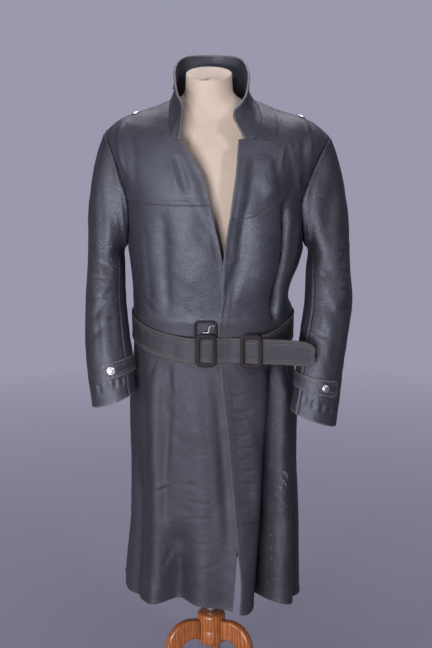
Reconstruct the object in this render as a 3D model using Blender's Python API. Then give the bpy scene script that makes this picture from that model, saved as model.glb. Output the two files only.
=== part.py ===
"""A long leather coat on a limbless dress form with a wooden tripod stand.

Lengths are metres, angles in tables are degrees, +Z is up. The coat's front faces -Y, so +X is the
wearer's left. Until the last step the form's axis is the line x = 0, y = 0.
An angle round the body is 0 at the front, 90 at the wearer's left, 180 at the back.
"""
import math

import bpy
import numpy as np
from mathutils import Matrix, Vector

# Moves the whole so that its box stands centred on the origin
CENTRE_SHIFT = (-0.0178, -0.0341, 0.0)

# Cloth walls and the gap that each seam leaves
WALL = 0.002
COLLAR_WALL = 0.003
SEAM_GAP = 0.0003
SEAM_BEVEL = 0.0005
LAY_GAP = 0.0006

# Heights of the seams; the yoke seam of the left front drops towards its edge
WAIST_HEIGHT = 1.000
YOKE_HEIGHT = 1.266
YOKE_SLANT = 0.029
YOKE_LEVEL_ANGLE = 38.0
YOKE_LOW_ANGLE = 12.0
ARMPIT_HEIGHT = 1.155
HEM = [
    # angle, height
    (-180.0, 0.335),
    (-90.0, 0.345),
    (-55.0, 0.342),
    (-35.0, 0.344),
    (-20.0, 0.353),
    (-8.0, 0.350),
    (10.0, 0.337),
    (16.0, 0.331),
    (28.0, 0.345),
    (40.0, 0.342),
    (52.0, 0.332),
    (75.0, 0.323),
    (90.0, 0.323),
    (180.0, 0.335),
]

# Plan of the coat at each height: x of the right and left sides, y of the front and back
BODY_SECTIONS = [
    # height, right_x, left_x, front_y, back_y
    (0.320, -0.205, 0.211, -0.166, 0.172),
    (0.500, -0.189, 0.206, -0.158, 0.160),
    (0.690, -0.187, 0.199, -0.150, 0.152),
    (0.800, -0.187, 0.199, -0.146, 0.147),
    (0.850, -0.185, 0.196, -0.143, 0.143),
    (0.900, -0.179, 0.188, -0.138, 0.136),
    (1.015, -0.177, 0.186, -0.138, 0.136),
    (1.065, -0.178, 0.188, -0.143, 0.140),
    (1.150, -0.187, 0.209, -0.151, 0.146),
    (1.266, -0.196, 0.213, -0.155, 0.148),
]
SQUARENESS = 2.4

# Front edges, x at each height; the left front lies over the right one
LEFT_EDGE = [
    # height, x
    (0.320, 0.062),
    (0.393, 0.066),
    (0.509, 0.056),
    (0.718, 0.038),
    (0.900, 0.020),
    (1.012, 0.018),
    (1.058, 0.024),
    (1.146, 0.028),
    (1.212, 0.037),
    (1.266, 0.0465),
    (1.330, 0.055),
    (1.400, 0.060),
]
RIGHT_EDGE = [
    # height, x
    (0.320, 0.046),
    (0.435, 0.055),
    (1.000, 0.045),
    (1.146, 0.024),
    (1.234, 0.006),
    (1.266, -0.002),
    (1.309, -0.013),
    (1.352, -0.035),
    (1.407, -0.067),
]
LEFT_LIFT = 0.0055
LIFT_FULL_ANGLE = 22.0
LIFT_NONE_ANGLE = 48.0

# Shoulder line seen from the front
SHOULDER_LINE = [
    # x, height
    (-0.240, 1.405),
    (-0.207, 1.434),
    (-0.163, 1.453),
    (-0.117, 1.469),
    (-0.085, 1.483),
    (0.000, 1.515),
    (0.090, 1.482),
    (0.147, 1.459),
    (0.205, 1.442),
    (0.240, 1.422),
    (0.268, 1.396),
]
SHOULDER_CENTRE = 0.0147
SHOULDER_HALF = 0.2513
ARMHOLE_ACROSS = 0.941
NECK_LEFT_X = 0.094
NECK_RIGHT_X = -0.088
NECK_BACK_RISE = 60.0

# Neck seam of each front: rise is the turn from the yoke seam (0) to the shoulder top (90)
LEFT_NECK = [
    # rise, x
    (0.0, 0.0465),
    (18.0, 0.055),
    (37.0, 0.060),
    (38.0, 0.073),
    (40.0, 0.098),
    (55.0, 0.112),
    (75.0, 0.106),
    (90.0, NECK_LEFT_X),
]
RIGHT_NECK = [
    # rise, x
    (0.0, -0.002),
    (12.0, -0.013),
    (23.0, -0.035),
    (38.0, -0.067),
    (41.0, -0.086),
    (55.0, -0.092),
    (75.0, -0.091),
    (90.0, NECK_RIGHT_X),
]

# Columns and rows of the yokes' points
LEFT_YOKE_SIZE = (12, 8)
RIGHT_YOKE_SIZE = (12, 8)
BACK_YOKE_SIZE = (24, 7)

# The largest folds: depth is out of the body when positive
FOLDS = [
    # top_angle, top_height, low_angle, low_height, half_width, top_depth, low_depth
    # Wearer's right chest and yoke
    (-29.0, 1.270, -31.0, 1.000, 0.014, -0.0026, -0.0032),
    (-46.0, 1.230, -47.0, 1.010, 0.012, -0.0016, -0.0020),
    (-18.0, 1.395, -11.5, 1.250, 0.010, -0.0022, -0.0034),
    (-11.5, 1.270, 0.0, 1.130, 0.010, -0.0034, -0.0022),
    (-51.0, 1.440, -62.0, 1.310, 0.010, 0.002, 0.003),
    (-40.0, 1.450, -52.0, 1.270, 0.012, -0.002, -0.002),
    # Wearer's left chest and yoke
    (45.5, 1.290, 46.0, 0.980, 0.012, -0.015, -0.026),
    (63.0, 1.270, 55.0, 1.000, 0.018, 0.004, 0.004),
    (18.5, 1.410, 16.0, 1.240, 0.010, -0.0026, -0.0034),
    (16.0, 1.270, 8.5, 1.030, 0.010, -0.0034, -0.0030),
    (29.0, 1.400, 34.0, 1.240, 0.016, 0.002, 0.003),
    (45.0, 1.400, 50.0, 1.250, 0.014, -0.002, -0.002),
    (88.0, 1.115, 88.0, 0.960, 0.070, -0.011, -0.011),
    # Wearer's left skirt
    (46.0, 0.930, 31.0, 0.320, 0.022, -0.020, -0.082),
    (56.0, 0.900, 50.0, 0.320, 0.028, 0.000, 0.014),
    (12.0, 0.620, 15.0, 0.320, 0.030, 0.004, 0.016),
    (70.0, 0.700, 72.0, 0.320, 0.022, -0.004, -0.014),
    # Wearer's right skirt
    (-21.0, 0.560, -20.0, 0.320, 0.028, -0.006, -0.034),
    (-30.0, 0.930, -31.0, 0.520, 0.014, -0.008, -0.006),
    (-40.0, 0.920, -37.0, 0.320, 0.022, 0.006, 0.012),
    (-6.0, 0.900, -4.0, 0.320, 0.024, 0.003, 0.010),
    (-62.0, 0.760, -60.0, 0.320, 0.024, -0.005, -0.014),
    # Back
    (112.0, 0.860, 110.0, 0.320, 0.026, 0.006, 0.012),
    (138.0, 0.930, 134.0, 0.320, 0.026, -0.010, -0.040),
    (160.0, 0.880, 158.0, 0.320, 0.030, 0.006, 0.014),
    (184.0, 0.920, 182.0, 0.320, 0.026, -0.006, -0.028),
    (208.0, 0.860, 211.0, 0.320, 0.030, 0.006, 0.014),
    (229.0, 0.930, 234.0, 0.320, 0.026, -0.010, -0.038),
    (252.0, 0.800, 254.0, 0.320, 0.026, 0.005, 0.012),
    (136.0, 1.230, 142.0, 1.000, 0.016, -0.004, -0.010),
    (222.0, 1.240, 216.0, 1.000, 0.016, -0.004, -0.010),
    (168.0, 1.120, 170.0, 0.990, 0.016, -0.003, -0.008),
]
FOLD_FADE = 0.07
FOLD_OPEN_BELOW = 0.33
FOLD_SPREAD_HEIGHT = 0.42
FOLD_RADIUS = 0.185

# Belt: its centre line dips towards the front
BELT_SIDE_HEIGHT = 0.976
BELT_FRONT_DROP = 0.035
BELT_BACK_RISE = 0.006
BELT_WIDTH = 0.055
BELT_WALL = 0.003
BELT_GAP = 0.0013
BELT_START_ANGLE = 30.0
BELT_OFF_ANGLE = 60.0
BELT_OFF_LIFT = 0.018
BELT_END_ANGLE = 351.0
BELT_CLEAR = 0.004
BELT_PINCH = 0.030
BELT_RISE_ANGLES = (-26.0, -14.0)
BELT_OVER_LIFT = 0.0072

# The tongue lies on the left front, then runs straight through the second buckle to its free end
TONGUE_START_ANGLE = -7.0
TONGUE_LEAVE_ANGLE = 9.0
TONGUE_FREE = [
    # x, y, height
    (0.089, -0.1485, 0.941),
    (0.130, -0.1495, 0.940),
    (0.180, -0.1510, 0.938),
    (0.229, -0.1530, 0.933),
]
TONGUE_TIP = (0.97, 0.86, 0.55)

# Buckle frames: place of the centre, outer size, half width and half thickness of the bars
BUCKLES = [
    # name, x, y, height, width, tall, bar_half, thick_half
    ("belt_buckle_right", -0.0107, -0.1493, 0.942, 0.047, 0.074, 0.0050, 0.0030),
    ("belt_buckle_left", 0.0890, -0.1523, 0.941, 0.050, 0.076, 0.0050, 0.0030),
    ("under_buckle", -0.0120, -0.1403, 0.977, 0.052, 0.064, 0.0032, 0.0016),
]
FRAME_CORNER = 0.008
PRONG_RADIUS = 0.0012
PRONG_PATH = [
    # x, y, height
    (-0.0190, -0.1445, 0.9825),
    (-0.0060, -0.1450, 0.9825),
    (-0.0040, -0.1455, 0.9860),
    (-0.0035, -0.1460, 0.9930),
    (0.0010, -0.1450, 0.9975),
    (0.0105, -0.1434, 0.9985),
]

# Sleeve rings from below the armpit to the cuff, wearer's side by side
SLEEVE_LEFT = [
    # height, x, y, half_width, half_depth, tilt
    (1.100, 0.2665, -0.012, 0.0510, 0.0740, 4.0),
    (1.030, 0.2665, -0.036, 0.0540, 0.0690, 2.0),
    (0.960, 0.2560, -0.058, 0.0545, 0.0620, 5.0),
    (0.890, 0.2450, -0.078, 0.0535, 0.0560, 10.0),
    (0.830, 0.2380, -0.092, 0.0535, 0.0500, 16.0),
    (0.779, 0.2305, -0.101, 0.0555, 0.0450, 20.0),
]
SLEEVE_RIGHT = [
    # height, x, y, half_width, half_depth, tilt
    (1.110, -0.2370, -0.012, 0.0430, 0.0740, 4.0),
    (1.040, -0.2375, -0.036, 0.0455, 0.0690, 2.0),
    (0.975, -0.2350, -0.058, 0.0500, 0.0620, 5.0),
    (0.910, -0.2290, -0.078, 0.0530, 0.0560, 10.0),
    (0.860, -0.2235, -0.092, 0.0530, 0.0500, 16.0),
    (0.822, -0.2180, -0.101, 0.0520, 0.0450, 20.0),
]
SLEEVE_FRONT_SEAM = 136.0
SLEEVE_BACK_SEAM = 292.0
SLEEVE_CAP_SHARE = 0.40
SLEEVE_START = 0.0006

# Sleeve folds: turn is 0 at the outer side and 90 at the front, run is 0 at the armhole and 1 at the cuff
SLEEVE_FOLDS = [
    # top_turn, top_run, low_turn, low_run, half_turn, depth
    (62.0, 0.10, 100.0, 0.42, 15.0, -0.003),
    (20.0, 0.20, 60.0, 0.52, 16.0, 0.003),
    (110.0, 0.48, 60.0, 0.62, 15.0, -0.003),
    (100.0, 0.62, 40.0, 0.72, 15.0, -0.002),
    (225.0, 0.30, 258.0, 0.56, 15.0, -0.006),
    (256.0, 0.60, 215.0, 0.72, 15.0, -0.004),
]

SLEEVE_FOLD_FADE = 0.08
SLEEVE_FOLD_BLUNT = 0.4

# Top of the collar, from the wearer's left front round the back to the right front
COLLAR_TOP = [
    # x, y, height, bulge
    (0.0460, -0.1120, 1.4620, -0.001),
    (0.0720, -0.0860, 1.4860, -0.005),
    (0.0840, -0.0420, 1.5140, -0.009),
    (0.0850, 0.0100, 1.5440, -0.008),
    (0.0640, 0.0620, 1.5690, -0.003),
    (0.0030, 0.0850, 1.5740, 0.002),
    (-0.0590, 0.0620, 1.5710, -0.002),
    (-0.0800, 0.0100, 1.5530, -0.006),
    (-0.0800, -0.0420, 1.5230, -0.007),
    (-0.0740, -0.0800, 1.4960, -0.005),
    (-0.0610, -0.1040, 1.4800, 0.000),
]
COLLAR_CORNER_RISE = 37.5
COLLAR_SIDE_SHARE = 0.3
COLLAR_BUTTON = (0.76, 0.40)
COLLAR_BUTTON_GAP = 0.0006
COLLAR_BUTTON_PROFILE = [
    # radius, height
    (0.0055, 0.0000),
    (0.0062, 0.0010),
    (0.0062, 0.0032),
    (0.0050, 0.0042),
]

# Cuff straps: turns of the outer end, inner end and button, and their place along the sleeve
STRAPS = {
    # name: outer_turn, inner_turn, button_turn, high_run, low_run
    "left": (40.0, 168.0, 76.0, 0.822, 0.886),
    "right": (74.0, 172.0, 96.0, 0.815, 0.889),
}
STRAP_WALL = 0.0025
STRAP_TIP = (0.55, 0.9)

# Buttons are turned: radius and height above the cloth
BUTTON_PROFILE = [
    # radius, height
    (0.0028, 0.0000),
    (0.0028, 0.0016),
    (0.0080, 0.0018),
    (0.0088, 0.0028),
    (0.0084, 0.0038),
    (0.0070, 0.0036),
    (0.0055, 0.0044),
]
# The yokes' flat faces lie a little inside their true curve, so a button there is sunk by this
SHOULDER_BUTTON_SINK = 0.0006
SHOULDER_BUTTONS = [
    # name, across, rise
    ("shoulder_button_left", 0.700, 86.0),
    ("shoulder_button_right", -0.680, 86.0),
]

# Dress form: plan at each height
FORM_SECTIONS = [
    # height, half_width, front_y, back_y
    (0.800, 0.150, -0.100, 0.104),
    (0.880, 0.158, -0.106, 0.112),
    (0.960, 0.148, -0.102, 0.104),
    (1.040, 0.142, -0.100, 0.098),
    (1.130, 0.154, -0.110, 0.104),
    (1.230, 0.170, -0.118, 0.108),
    (1.310, 0.182, -0.110, 0.106),
    (1.365, 0.188, -0.096, 0.098),
    (1.405, 0.182, -0.082, 0.086),
    (1.428, 0.170, -0.072, 0.076),
    (1.450, 0.143, -0.062, 0.066),
    (1.472, 0.089, -0.055, 0.0563),
    (1.493, 0.057, -0.052, 0.052),
    (1.515, 0.052, -0.051, 0.052),
    (1.540, 0.051, -0.051, 0.051),
]
FORM_AXIS_X = -0.004
FORM_CHEST_TOP = 1.360
FORM_SHOULDER = 1.385
NECK_SLOPE = 0.24
NECK_SLOPE_FROM = 1.455

# Stand
POLE_RADIUS = 0.0125
HUB_PROFILE = [
    # radius, height
    (0.0260, 0.1850),
    (0.0320, 0.1880),
    (0.0340, 0.1940),
    (0.0340, 0.2540),
    (0.0320, 0.2600),
    (0.0260, 0.2630),
]
LEG_ANGLES = {"stand_leg_left": -35.0, "stand_leg_right": 205.0, "stand_leg_back": 85.0}
LEG_THICKNESS = 0.022
LEG_CURVE = [
    # radius and height of the upper edge, radius and height of the lower edge
    (0.0345, 0.2480, 0.0345, 0.1980),
    (0.0650, 0.2500, 0.0560, 0.2010),
    (0.0930, 0.2390, 0.0740, 0.1920),
    (0.1120, 0.2140, 0.0840, 0.1700),
    (0.1200, 0.1800, 0.0900, 0.1400),
    (0.1300, 0.1400, 0.1010, 0.1040),
    (0.1520, 0.0980, 0.1230, 0.0640),
    (0.1860, 0.0620, 0.1580, 0.0300),
    (0.2220, 0.0420, 0.1980, 0.0060),
    (0.2420, 0.0340, 0.2200, 0.0000),
    (0.2500, 0.0000, 0.2360, 0.0000),
]

# Surface looks: colour, roughness, metallic
LOOKS = {
    "slate_leather": ((0.045, 0.048, 0.056), 0.42, 0.0),
    "belt_leather": ((0.040, 0.034, 0.032), 0.45, 0.0),
    "silver_metal": ((0.62, 0.62, 0.64), 0.28, 1.0),
    "horn": ((0.02, 0.02, 0.022), 0.35, 0.0),
    "cream_cover": ((0.72, 0.66, 0.55), 0.85, 0.0),
    "varnished_wood": ((0.42, 0.16, 0.05), 0.35, 0.0),
}


def ease(share):
    """A soft step from 0 to 1."""
    share = np.clip(share, 0.0, 1.0)
    return share * share * (3.0 - 2.0 * share)


def signed_power(value, power):
    """A power that keeps the sign."""
    return np.sign(value) * np.abs(value) ** power


def read_table(rows, column, at):
    """A column of a table read anywhere along its first column, on a smooth curve through the rows."""
    data = np.array(rows, dtype=float)
    keys = data[:, 0]
    values = data[:, column]
    slopes = np.gradient(values, keys)
    at = np.clip(at, keys[0], keys[-1])
    index = np.clip(np.searchsorted(keys, at) - 1, 0, len(keys) - 2)
    span = keys[index + 1] - keys[index]
    share = (at - keys[index]) / span
    rest = 1.0 - share
    low = (1.0 + 2.0 * share) * rest**2 * values[index]
    high = share**2 * (3.0 - 2.0 * share) * values[index + 1]
    low_slope = share * rest**2 * span * slopes[index]
    high_slope = share**2 * (share - 1.0) * span * slopes[index + 1]
    return low + high + low_slope + high_slope


def read_straight(rows, column, at):
    """A column of a table read along straight lines between its rows."""
    data = np.array(rows, dtype=float)
    return np.interp(at, data[:, 0], data[:, column])


def curve_through(points, at):
    """Points on a smooth curve through the given ones; at runs from 0 to 1."""
    keys = np.linspace(0.0, 1.0, len(points))
    columns = []
    for axis in range(len(points[0])):
        rows = [(key, point[axis]) for key, point in zip(keys, points)]
        columns.append(read_table(rows, 1, at))
    return np.stack(columns, axis=-1)


def body_section(height):
    """Centre x, half width, front y and back y of the coat at a height."""
    right = read_table(BODY_SECTIONS, 1, height)
    left = read_table(BODY_SECTIONS, 2, height)
    front = read_table(BODY_SECTIONS, 3, height)
    back = read_table(BODY_SECTIONS, 4, height)
    return (left + right) / 2.0, (left - right) / 2.0, front, back


def belt_height(angle):
    """Height of the belt's centre line."""
    facing = np.cos(np.radians(angle))
    drop = BELT_FRONT_DROP * np.clip(facing, 0.0, 1.0) ** 1.5
    rise = BELT_BACK_RISE * np.clip(-facing, 0.0, 1.0)
    return BELT_SIDE_HEIGHT - drop + rise


def fold_depth(angle, height):
    """How far the folds move the cloth out of its plain form."""
    total = np.zeros(np.broadcast(angle, height).shape)
    for top_angle, top, low_angle, low, half_width, top_depth, low_depth in FOLDS:
        share = np.clip((top - height) / (top - low), 0.0, 1.0)
        middle = top_angle + (low_angle - top_angle) * share
        turn = (angle - middle + 180.0) % 360.0 - 180.0
        aside = np.radians(turn) * FOLD_RADIUS / half_width
        depth = top_depth + (low_depth - top_depth) * share
        ends = ease((top - height) / FOLD_FADE) * ease((height - low) / FOLD_FADE + (low < FOLD_OPEN_BELOW))
        total += depth * ends * np.exp(-(aside**2))
    from_belt = np.abs(height - belt_height(angle)) - BELT_WIDTH / 2.0
    return total * ease((from_belt - BELT_CLEAR) / BELT_PINCH)


def hem_height(angle):
    """Height of the hem."""
    return read_table(HEM, 1, (angle + 180.0) % 360.0 - 180.0)


def yoke_seam(angle):
    """Height of the yoke seam."""
    turn = (angle + 180.0) % 360.0 - 180.0
    span = YOKE_LEVEL_ANGLE - YOKE_LOW_ANGLE
    return YOKE_HEIGHT - YOKE_SLANT * ease((YOKE_LEVEL_ANGLE - turn) / span) * (turn > 0.0)


def left_lift(angle):
    """How far the left front lies over the right one."""
    return LEFT_LIFT * (1.0 - ease((angle - LIFT_FULL_ANGLE) / (LIFT_NONE_ANGLE - LIFT_FULL_ANGLE)))


def body_point(angle, height, lift=0.0):
    """A point of the coat below the yoke seam, moved out by lift."""
    angle, height, lift = np.broadcast_arrays(angle, height, lift)
    centre, half, front, back = body_section(height)
    sine = np.sin(np.radians(angle))
    cosine = np.cos(np.radians(angle))
    power = 2.0 / SQUARENESS
    depth = np.where(cosine > 0.0, -front, back)
    x = centre + half * signed_power(sine, power)
    y = -depth * signed_power(cosine, power)
    out_x = signed_power(sine, 2.0 - power) / half
    out_y = -signed_power(cosine, 2.0 - power) / depth
    size = np.hypot(out_x, out_y)
    move = lift + fold_depth(angle, height)
    return np.stack([x + move * out_x / size, y + move * out_y / size, height], axis=-1)


def edge_angle(rows, height):
    """Angle of a front edge at a height."""
    centre, half, _, _ = body_section(height)
    across = (read_table(rows, 1, height) - centre) / half
    return np.degrees(np.arcsin(signed_power(across, SQUARENESS / 2.0)))


ARMHOLE_ANGLE = math.degrees(math.asin(ARMHOLE_ACROSS ** (SQUARENESS / 2.0)))


def armhole_height(angle):
    """Top of the panels below the yoke seam: the yoke seam, or the lower half of an armhole."""
    from_side = np.abs(np.abs((angle + 180.0) % 360.0 - 180.0) - 90.0)
    share = np.clip(from_side / (90.0 - ARMHOLE_ANGLE), 0.0, 1.0)
    return ARMPIT_HEIGHT + (yoke_seam(angle) - ARMPIT_HEIGHT) * (1.0 - np.sqrt(1.0 - share**2))


def yoke_plan(rise):
    """Centre x and half width of the yokes at a rise in degrees."""
    centre, half, _, _ = body_section(np.asarray(YOKE_HEIGHT))
    share = np.sin(np.radians(rise))
    top_half = SHOULDER_HALF / ARMHOLE_ACROSS
    return centre + (SHOULDER_CENTRE - centre) * share, half + (top_half - half) * share


def yoke_point(across, rise, front, lift=0.0):
    """A point of a yoke; across is -1 to 1 over the shoulders, rise 0 at the seam and 90 on top."""
    across, rise, lift = np.broadcast_arrays(across, rise, lift)
    _, _, front_y, back_y = body_section(np.asarray(YOKE_HEIGHT))
    centre, half = yoke_plan(rise)
    x = centre + across * half
    up = np.sin(np.radians(rise))
    level = np.cos(np.radians(rise))
    depth = front_y if front else back_y
    bow = (1.0 - np.abs(across) ** SQUARENESS) ** (1.0 / SQUARENESS)
    y = depth * bow * level
    z = YOKE_HEIGHT + (read_table(SHOULDER_LINE, 1, x) - YOKE_HEIGHT) * up
    angle = np.degrees(np.arcsin(signed_power(across, SQUARENESS / 2.0)))
    if not front:
        angle = 180.0 - angle
    out_x = signed_power(across, SQUARENESS - 1.0) / half * level
    out_y = bow ** (SQUARENESS - 1.0) / depth * level
    size = np.hypot(out_x, out_y) + 1e-9
    move = lift + fold_depth(angle, z)
    flat = move * level / size
    return np.stack([x + flat * out_x, y + flat * out_y, z + move * up], axis=-1)


def grid_normals(points):
    """Unit normals of a grid of points, out of the side where columns turn to rows."""
    along = np.gradient(points, axis=1)
    up = np.gradient(points, axis=0)
    normals = np.cross(along, up)
    return normals / np.linalg.norm(normals, axis=2, keepdims=True)


def trim_edges(points, inset):
    """Draws all four edges of a grid in by an inset."""
    trimmed = points.copy()
    for edge, inner in ((0, 1), (-1, -2)):
        step = points[inner] - points[edge]
        trimmed[edge] += step / np.linalg.norm(step, axis=1, keepdims=True) * inset
    kept = trimmed.copy()
    for edge, inner in ((0, 1), (-1, -2)):
        step = kept[:, inner] - kept[:, edge]
        trimmed[:, edge] += step / np.linalg.norm(step, axis=1, keepdims=True) * inset
    return trimmed


def wall_faces(rows, columns):
    """Faces of a closed wall whose outer grid comes first and inner grid second."""
    inner = rows * columns
    faces = []
    for i in range(rows - 1):
        for j in range(columns - 1):
            a = i * columns + j
            b = a + columns
            faces.append((a, a + 1, b + 1, b))
            faces.append((inner + a, inner + b, inner + b + 1, inner + a + 1))
    top = (rows - 1) * columns
    for j in range(columns - 1):
        faces.append((inner + j, inner + j + 1, j + 1, j))
        faces.append((top + j, top + j + 1, inner + top + j + 1, inner + top + j))
    for i in range(rows - 1):
        a = i * columns
        b = a + columns
        c = a + columns - 1
        d = c + columns
        faces.append((a, b, inner + b, inner + a))
        faces.append((c, inner + c, inner + d, d))
    return faces


def make_material(name):
    """A material of the given look."""
    colour, roughness, metallic = LOOKS[name]
    material = bpy.data.materials.new(name)
    material.use_nodes = True
    shader = material.node_tree.nodes["Principled BSDF"]
    shader.inputs["Base Color"].default_value = (*colour, 1.0)
    shader.inputs["Roughness"].default_value = roughness
    shader.inputs["Metallic"].default_value = metallic
    return material


def add_object(name, vertices, faces, look, root, place=None):
    """A named mesh object below the root, with its own material."""
    mesh = bpy.data.meshes.new(name)
    mesh.from_pydata([tuple(map(float, vertex)) for vertex in vertices], [], faces)
    mesh.polygons.foreach_set("use_smooth", [True] * len(mesh.polygons))
    mesh.materials.append(make_material(look))
    mesh.update()
    item = bpy.data.objects.new(name, mesh)
    bpy.context.scene.collection.objects.link(item)
    item.parent = root
    if place is not None:
        item.matrix_local = place
    return item


def add_wall(name, points, look, root, wall=WALL, gap=SEAM_GAP):
    """A cloth wall below a grid of outer points; its inner edges are cut back, clear of the next piece."""
    outer = trim_edges(points, gap / 2.0)
    bevel = SEAM_BEVEL if gap else 0.0
    inner = trim_edges(outer - grid_normals(outer) * wall, bevel)
    rows, columns = points.shape[:2]
    vertices = np.concatenate([outer.reshape(-1, 3), inner.reshape(-1, 3)])
    return add_object(name, vertices, wall_faces(rows, columns), look, root)


def ring_stack(rings):
    """Vertices and faces of a solid through closed rings, with its ends closed."""
    rings = np.asarray(rings)
    count, size = rings.shape[:2]
    faces = []
    for i in range(count - 1):
        for j in range(size):
            k = (j + 1) % size
            faces.append((i * size + j, i * size + k, (i + 1) * size + k, (i + 1) * size + j))
    vertices = np.concatenate([rings.reshape(-1, 3), rings[:1].mean(axis=1), rings[-1:].mean(axis=1)])
    low = count * size
    for j in range(size):
        k = (j + 1) % size
        faces.append((low, k, j))
        faces.append((low + 1, (count - 1) * size + j, (count - 1) * size + k))
    return vertices, faces


def turned(profile, size=24):
    """A solid turned round the Z axis from a table of radius and height."""
    angles = np.linspace(0.0, 2.0 * math.pi, size, endpoint=False)
    rings = []
    for radius, height in profile:
        level = np.full(size, height)
        rings.append(np.stack([radius * np.cos(angles), radius * np.sin(angles), level], axis=-1))
    return ring_stack(rings)


def pointing(position, direction):
    """A placement whose Z axis points along a direction."""
    turn = Vector(direction).to_track_quat("Z", "Y").to_matrix().to_4x4()
    return Matrix.Translation(Vector(position)) @ turn


def even_shares(points, count):
    """Shares along a row of points that split its length evenly."""
    steps = np.linalg.norm(np.diff(points, axis=0), axis=1)
    lengths = np.concatenate([[0.0], np.cumsum(steps)])
    known = np.linspace(0.0, 1.0, len(points))
    return np.interp(np.linspace(0.0, 1.0, count), lengths / lengths[-1], known)


def skirt_grid(start, end, columns, rows, lift):
    """Points of a skirt panel; start and end give the angle at a height."""
    fine = np.linspace(0.0, 1.0, 400)
    spread = np.asarray(FOLD_SPREAD_HEIGHT)
    low = start(spread) + (end(spread) - start(spread)) * fine
    share = even_shares(body_point(low, spread, lift(low)), columns)[None, :]
    row = np.linspace(0.0, 1.0, rows)[:, None]
    guess = HEM[0][1] + (WAIST_HEIGHT - HEM[0][1]) * row
    angle = start(guess) + (end(guess) - start(guess)) * share
    under_belt = belt_height(angle) - BELT_WIDTH / 2.0 - BELT_CLEAR
    hem = hem_height(angle)
    below = hem + (under_belt - hem) * np.clip(row / row[-2], 0.0, 1.0)
    height = np.where(row < 1.0, below, WAIST_HEIGHT)
    angle = start(height) + (end(height) - start(height)) * share
    return body_point(angle, height, lift(angle))


def chest_grid(start, end, knees, counts, rows, lift):
    """Points of a panel between waist seam and yoke seam; knees are the angles where an armhole starts."""
    row = np.concatenate([[0.0], np.linspace(0.07, 1.0, rows - 1)])[:, None]
    height = WAIST_HEIGHT + (YOKE_HEIGHT - WAIST_HEIGHT) * row
    for _ in range(2):
        first, last = height[:, :1], height[:, -1:]
        marks = [start(first)] + [0.0 * first + knee for knee in knees] + [end(last)]
        parts = []
        for low, high, count in zip(marks[:-1], marks[1:], counts):
            share = np.linspace(0.0, 1.0, count + 1)[None, (1 if parts else 0):]
            parts.append(low + (high - low) * share)
        angle = np.concatenate(parts, axis=1)
        height = WAIST_HEIGHT + (armhole_height(angle) - WAIST_HEIGHT) * row
    return body_point(angle, height, lift(angle))


def add_body(root):
    """Fronts, back and skirt below the yoke seam."""
    def left_edge(height):
        return edge_angle(LEFT_EDGE, height)

    def right_edge(height):
        return edge_angle(RIGHT_EDGE, height)

    def at(angle):
        return lambda height: angle + 0.0 * np.asarray(height)

    def no_lift(angle):
        return 0.0 * angle

    knee = ARMHOLE_ANGLE
    add_wall("skirt_front_left", skirt_grid(left_edge, at(90.0), 19, 12, left_lift), "slate_leather", root)
    add_wall("skirt_front_right", skirt_grid(at(-90.0), right_edge, 17, 12, no_lift), "slate_leather", root)
    add_wall("skirt_back", skirt_grid(at(90.0), at(270.0), 27, 10, no_lift), "slate_leather", root)
    left = chest_grid(left_edge, at(90.0), [knee], (11, 3), 9, left_lift)
    right = chest_grid(at(-90.0), right_edge, [-knee], (3, 11), 9, no_lift)
    back = chest_grid(at(90.0), at(270.0), [180.0 - knee, 180.0 + knee], (3, 14, 3), 7, no_lift)
    add_wall("chest_front_left", left, "slate_leather", root)
    add_wall("chest_front_right", right, "slate_leather", root)
    add_wall("back_body", back, "slate_leather", root)


def neck_across(rows, rise):
    """Where a front's edge and neck seam lie, as a share of the half width."""
    centre, half = yoke_plan(rise)
    return (read_straight(rows, 1, rise) - centre) / half


def yoke_rises(table, rows):
    """Rises of a front yoke's rows: even ones, and those of its neck table."""
    corners = [row[0] for row in table[1:-1]]
    even = np.linspace(0.0, 90.0, rows)
    apart = np.min(np.abs(even[:, None] - corners), axis=1) > 5.0
    return np.unique(np.concatenate([even[apart], corners]))


def front_yoke_grid(side, columns, rows):
    """Points of a front yoke; side is 1 for the wearer's left."""
    table = LEFT_NECK if side > 0 else RIGHT_NECK
    rise = yoke_rises(table, rows)[:, None]
    share = np.linspace(0.0, 1.0, columns)[None, :]
    inner = neck_across(table, rise)
    if side > 0:
        even = np.radians(edge_angle(LEFT_EDGE, YOKE_HEIGHT) * (1.0 - share) + ARMHOLE_ANGLE * share)
        share = (signed_power(np.sin(even), 2.0 / SQUARENESS) - inner[0]) / (ARMHOLE_ACROSS - inner[0])
        across = inner + (ARMHOLE_ACROSS - inner) * share
        angle = np.degrees(np.arcsin(signed_power(across, SQUARENESS / 2.0)))
        points = yoke_point(across, rise, True, left_lift(angle) * np.cos(np.radians(rise)))
        edge = edge_angle(LEFT_EDGE, yoke_seam(angle[0])[0])
        on_seam = np.linspace(edge, ARMHOLE_ANGLE, columns)
        points[0] = body_point(on_seam, yoke_seam(on_seam), left_lift(on_seam))
        return points
    across = -ARMHOLE_ACROSS + (inner + ARMHOLE_ACROSS) * share
    return yoke_point(across, rise, True)


def back_yoke_grid(columns, rows):
    """Points of the back yoke, from the wearer's left armhole to the right one."""
    across = np.linspace(ARMHOLE_ACROSS, -ARMHOLE_ACROSS, columns)[None, :]
    share = np.linspace(0.0, 1.0, rows)[:, None]
    centre, half = yoke_plan(90.0)
    neck_middle = (NECK_LEFT_X + NECK_RIGHT_X) / 2.0
    neck_half = (NECK_LEFT_X - NECK_RIGHT_X) / 2.0
    inside = np.clip(1.0 - ((centre + across * half - neck_middle) / neck_half) ** 2, 0.0, 1.0)
    top = 90.0 - (90.0 - NECK_BACK_RISE) * np.sqrt(inside)
    return yoke_point(across, share * top, False)


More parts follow.
